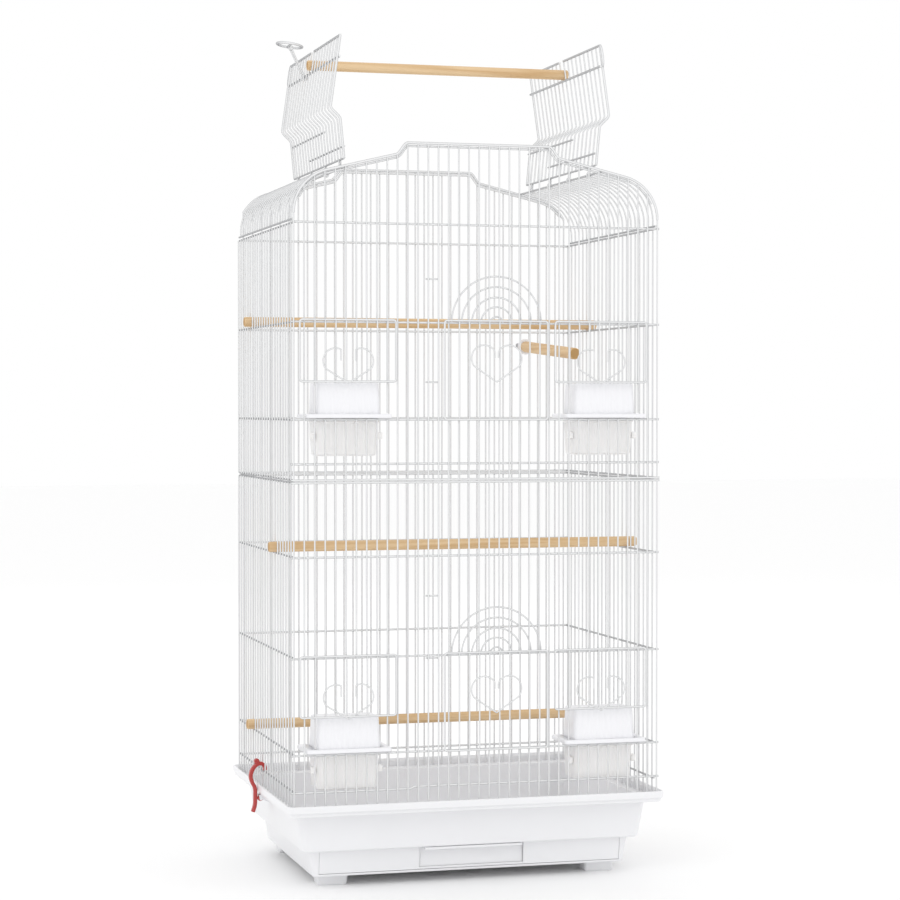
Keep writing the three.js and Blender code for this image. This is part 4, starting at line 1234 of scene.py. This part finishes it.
def cup_shape(node):
    """A tapered cup with soft ribs, a rolled top edge and a knob at each side."""
    (x0, y0, z0), (x1, y1, z1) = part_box(node)
    centre = np.array([(x0 + x1) / 2, (y0 + y1) / 2, 0.0])
    half_x, half_y = (x1 - x0) / 2, (y1 - y0) / 2
    lean, wall = 0.0028, 0.0016
    outer = [
        ribbed(half_x - lean - 0.002, half_y - lean - 0.002, 0.006, z0, 0.0, 7),
        ribbed(half_x - lean, half_y - lean, 0.007, z0 + 0.002, 0.0004, 12),
        ribbed(half_x - 0.0012, half_y - 0.0012, 0.007, z1 - 0.0052, 0.0004, 12),
        ribbed(half_x, half_y, 0.007, z1 - 0.0046, 0.0, 7),
        ribbed(half_x, half_y, 0.007, z1, 0.0, 7),
    ]
    inner = [
        ribbed(half_x - wall, half_y - wall, 0.006, z1, 0.0, 7),
        ribbed(half_x - lean - wall, half_y - lean - wall, 0.006, z0 + 0.003, 0.0, 7),
        ribbed(half_x - lean - wall - 0.001, half_y - lean - wall - 0.001, 0.005, z0 + 0.002, 0.0, 7),
    ]
    points, faces = stack(outer + inner)
    knobs = [
        chamfer(0.0028, 0.0045, 0.0040, (side * (half_x + 0.0012), -half_y + 0.010, z1 - 0.0200), 0.001)
        for side in (-1.0, 1.0)
    ]
    points, faces = merge([(points, faces), *knobs])
    return points + centre, faces


class BIRDCAGE_OT_perches(bpy.types.Operator):
    """Make the turned perches and the short perch's fittings"""

    bl_idname = "birdcage.perches"
    bl_label = "Perches"

    def execute(self, context):
        sizes, looks = context.scene.birdcage_sizes, context.scene.birdcage_looks
        wood, cut = dowel_wood(looks, "X"), (ALONG_X, end_grain(looks))
        for name in ("top_perch", "perch_upper", "perch_middle", "perch_lower"):
            first, last = np.array(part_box(name))
            half, _, radius = (last - first) / 2
            shape = turned(dowel_profile(half, -half, radius, sizes.chamfer), (first + last) / 2, ALONG_X)
            build("turned_" + name, shape, wood, name, (name,), 40.0, ends=cut)
        droop, long, radius = math.radians(3.7), 0.2, 0.007
        centre_x = (low("short_perch", 0) + high("short_perch", 0)) / 2
        back = np.array([centre_x, high("perch_washer_front", 1) - 0.0028, SHORT_PERCH_HEIGHT])
        axis = np.array([0.0, -math.cos(droop), -math.sin(droop)])
        shape = turned(dowel_profile(long, 0.0, radius, sizes.chamfer), back, axis)
        wood, cut = dowel_wood(looks, "Y"), (axis, end_grain(looks))
        build("turned_short_perch", shape, wood, "cage", ("short_perch",), 40.0, ends=cut)
        fittings(looks)
        return {"FINISHED"}


def dowel_profile(end, start, radius, cut):
    """Half the section of a dowel: its axis, a cut edge, the long side and the other end."""
    return [
        (end, 0.0001),
        (end, radius - cut),
        (end - cut, radius),
        (start + cut, radius),
        (start, radius - cut),
        (start, 0.0001),
    ]


def fittings(looks):
    """The bolt, two washers and the wing nut behind the back panel."""
    steel, white = plated_steel(looks), white_plastic(looks)
    centre_x = (low("perch_bolt", 0) + high("perch_bolt", 0)) / 2
    z = SHORT_PERCH_HEIGHT
    hole, edge = 0.0032, 0.0003
    for name, material, slot in (
        ("perch_washer_front", white, "white_plastic"),
        ("perch_washer_rear", steel, "steel"),
    ):
        (x0, y0, _), (x1, y1, _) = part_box(name)
        radius, thick = (x1 - x0) / 2, y1 - y0
        profile = [
            (0.0, hole),
            (0.0, radius - edge),
            (edge, radius),
            (thick - edge, radius),
            (thick, radius - edge),
            (thick, hole),
        ]
        ring = turned_ring(profile, (centre_x, y0, z), ALONG_Y)
        build("turned_" + name, ring, material, "cage", (name,), 30.0)
    start, end = low("perch_bolt", 1), high("perch_bolt", 1)
    along = np.linspace(0.0, end - start, 60)
    thread = 0.0020 + 0.0002 * np.cos(2 * np.pi * along / 0.0008)
    profile = [(0.0, 0.0001), *zip(along, thread), (end - start, 0.0001)]
    bolt = turned(profile, (centre_x, start, z), ALONG_Y, 20)
    build("threaded_perch_bolt", bolt, steel, "cage", ("perch_bolt",), 60.0)
    build("cast_wing_nut", wing_nut(centre_x, z), steel, "cage", ("perch_wing_nut",), 40.0)


def wing_nut(centre_x, z):
    """A tapered hub with a hole, and two flat oval wings that slope up and out from it."""
    start, end = low("perch_wing_nut", 1), high("perch_wing_nut", 1)
    hub = [(0.0, 0.0027), (0.0, 0.0045), (end - start, 0.0036), (end - start, 0.0027)]
    parts = [turned_ring(hub, (centre_x, start, z), ALONG_Y, 32)]
    angle = 2 * np.pi * np.arange(24) / 24
    wing_across = 0.0038 * np.cos(angle)
    wing_up = 0.0015 + 0.0032 * np.sin(angle) + 0.0010 * np.cos(angle)
    wing_out, middle = 0.0070, (start + end) / 2
    layers = ((0.9, -0.0008), (1.0, -0.0004), (1.0, 0.0004), (0.9, 0.0008))
    for side in (-1.0, 1.0):
        parts.append(stack([
            place(centre_x + side * (wing_out + scale * wing_across), middle + offset, z + scale * wing_up)
            for scale, offset in layers
        ]))
    return merge(parts)


class BIRDCAGE_OT_latches(bpy.types.Operator):
    """Make the red rim latches"""

    bl_idname = "birdcage.latches"
    bl_label = "Rim Latches"

    def execute(self, context):
        plastic = red_plastic(context.scene.birdcage_looks)
        for name, side in SIDES.items():
            node = f"rim_latch_{name}"
            build("moulded_" + node, latch_shape(name, side), plastic, node, (node,), 40.0)
        return {"FINISHED"}


def latch_shape(name, side):
    """A strip of rounded section carried along an S: tail, rim, bow and hook, with an eye and a knob."""
    pivot = pivot_of(f"rim_latch_{name}_pivot")
    lip = high("base_tub", 0)
    wire = LEVEL["bottom"] + CAD_RAIL / 2
    rim_top = high("base_tub", 2)
    out = lip + 0.0028
    route = np.array([
        [HALF_X - 0.0011, wire + 0.0010],
        [HALF_X - 0.0011, wire + 0.0050],
        [HALF_X + 0.0024, wire + 0.0090],
        [HALF_X + 0.0080, wire + 0.0090],
        [lip + 0.0062, wire + 0.0030],
        [lip + 0.0088, wire - 0.0060],
        [lip + 0.0065, rim_top + 0.0020],
        [out, rim_top - 0.0040],
        [out, 0.0830],
        [lip + 0.0030, 0.0750],
        [lip + 0.0056, 0.0670],
    ])
    path = smooth_path(place(route[:, 0], pivot[1], route[:, 1]))
    tangent = np.gradient(path, axis=0)
    across = np.cross(tangent, ALONG_Y)
    across /= np.linalg.norm(across, axis=1)[:, None]
    angle = 2 * np.pi * np.arange(20) / 20
    flat_y = 0.0035 * np.sign(np.cos(angle)) * np.abs(np.cos(angle)) ** 0.4
    flat_n = 0.0023 * np.sign(np.sin(angle)) * np.abs(np.sin(angle)) ** 0.6
    points = path[:, None, :] + flat_n[None, :, None] * across[:, None, :] + flat_y[None, :, None] * ALONG_Y
    strip = (points.reshape(-1, 3), grid_faces(len(path), 20))
    pin = np.array([abs(pivot[0]), pivot[1], pivot[2]])
    half, hole, radius = 0.0035, 0.0017, 0.0033
    eye_profile = [
        (-half, hole),
        (-half, radius - 0.0003),
        (-half + 0.0004, radius),
        (half - 0.0004, radius),
        (half, radius - 0.0003),
        (half, hole),
    ]
    eye = turned_ring(eye_profile, pin, ALONG_Y, 32)
    web_start = pin[0] + 0.0024
    web_centre = ((out + web_start) / 2, pivot[1], pin[2])
    web = chamfer((out - web_start) / 2, 0.0033, 0.0013, web_centre, 0.0004)
    knob_centre = (HALF_X + 0.0090, pivot[1], wire + 0.0118)
    knob = turned(dowel_profile(half, -half, radius, 0.0009), knob_centre, ALONG_Y, 32)
    points, faces = merge([strip, eye, web, knob])
    points[:, 0] *= side
    return points, faces


class BIRDCAGE_OT_studio(bpy.types.Operator):
    """Make the camera, the pale floor and the soft lights"""

    bl_idname = "birdcage.studio"
    bl_label = "Studio"

    def execute(self, context):
        scene = context.scene
        looks = scene.birdcage_looks
        camera = linked("camera", bpy.data.cameras.new("camera"))
        camera.data.lens = 97.87
        camera.data.sensor_width = 36.0
        camera.data.clip_end = 50.0
        camera.location = (-0.7825, -2.8476, 0.5494)
        camera.rotation_euler = (math.radians(90 - 1.04), 0.0, math.radians(-15.58))
        scene.camera = camera
        floor_material, nodes, links, shader = principled("Studio Floor")
        uneven = group_node(nodes, "Skin Unevenness", speckle_group)
        uneven.inputs["Scale"].default_value = 40.0
        uneven.inputs["Base Roughness"].default_value = 0.9
        links.new(uneven.outputs["Roughness"], shader.inputs["Roughness"])
        shader.inputs["Base Color"].default_value = (*looks.floor_color, 1.0)
        reach = 14.0
        points = reach * place([-1, 1, 1, -1], [-1, -1, 1, 1], 0.0)
        mesh = bpy.data.meshes.new("floor")
        mesh.from_pydata(points.tolist(), [], [[0, 1, 2, 3]])
        mesh.materials.append(floor_material)
        floor = linked("floor", mesh)
        middle = Vector((0.0, 0.0, 0.45))
        for name, where, size, power in (
            ("key light", (-2.2, -2.4, 3.0), 2.0, 13.0),
            ("fill light", (2.6, -1.8, 2.0), 2.6, 5.0),
            ("back light", (0.4, 3.0, 2.6), 2.8, 8.0),
        ):
            data = bpy.data.lights.new(name, "AREA")
            data.size, data.energy = size, power
            light = linked(name, data)
            light.location = where
            light.rotation_euler = (middle - Vector(where)).to_track_quat("-Z", "Y").to_euler()
        world = bpy.data.worlds.new("studio")
        world.use_nodes = True
        sky = world.node_tree.nodes["Background"]
        sky.inputs["Color"].default_value = (1.0, 1.0, 1.0, 1.0)
        sky.inputs["Strength"].default_value = 1.0
        scene.world = world
        scene.view_settings.view_transform = "Standard"
        return {"FINISHED"}


class BIRDCAGE_PT_panel(bpy.types.Panel):
    """Every step of the bird cage"""

    bl_idname = "BIRDCAGE_PT_panel"
    bl_label = "Bird Cage"
    bl_space_type = "VIEW_3D"
    bl_region_type = "UI"
    bl_category = "Bird Cage"

    def draw(self, context):
        for group in (context.scene.birdcage_sizes, context.scene.birdcage_looks):
            for name in group.__annotations__:
                self.layout.prop(group, name)
        for operator in OPERATORS:
            self.layout.operator(operator.bl_idname)


OPERATORS = (
    BIRDCAGE_OT_studio,
    BIRDCAGE_OT_panels,
    BIRDCAGE_OT_roof,
    BIRDCAGE_OT_doors,
    BIRDCAGE_OT_base,
    BIRDCAGE_OT_feeders,
    BIRDCAGE_OT_perches,
    BIRDCAGE_OT_latches,
)
CLASSES = (BirdCageSizes, BirdCageLooks, *OPERATORS, BIRDCAGE_PT_panel)


def register():
    """Registers the classes and hangs the settings on the scene."""
    for cls in CLASSES:
        bpy.utils.register_class(cls)
    bpy.types.Scene.birdcage_sizes = bpy.props.PointerProperty(type=BirdCageSizes)
    bpy.types.Scene.birdcage_looks = bpy.props.PointerProperty(type=BirdCageLooks)


def unregister():
    """Takes the settings and the classes away again."""
    del bpy.types.Scene.birdcage_looks
    del bpy.types.Scene.birdcage_sizes
    for cls in reversed(CLASSES):
        bpy.utils.unregister_class(cls)


def main():
    """Makes the stage and every piece."""
    register()
    bpy.ops.birdcage.studio()
    bpy.ops.birdcage.panels()
    bpy.ops.birdcage.roof()
    bpy.ops.birdcage.doors()
    bpy.ops.birdcage.base()
    bpy.ops.birdcage.feeders()
    bpy.ops.birdcage.perches()
    bpy.ops.birdcage.latches()


if __name__ == "__main__":
    main()
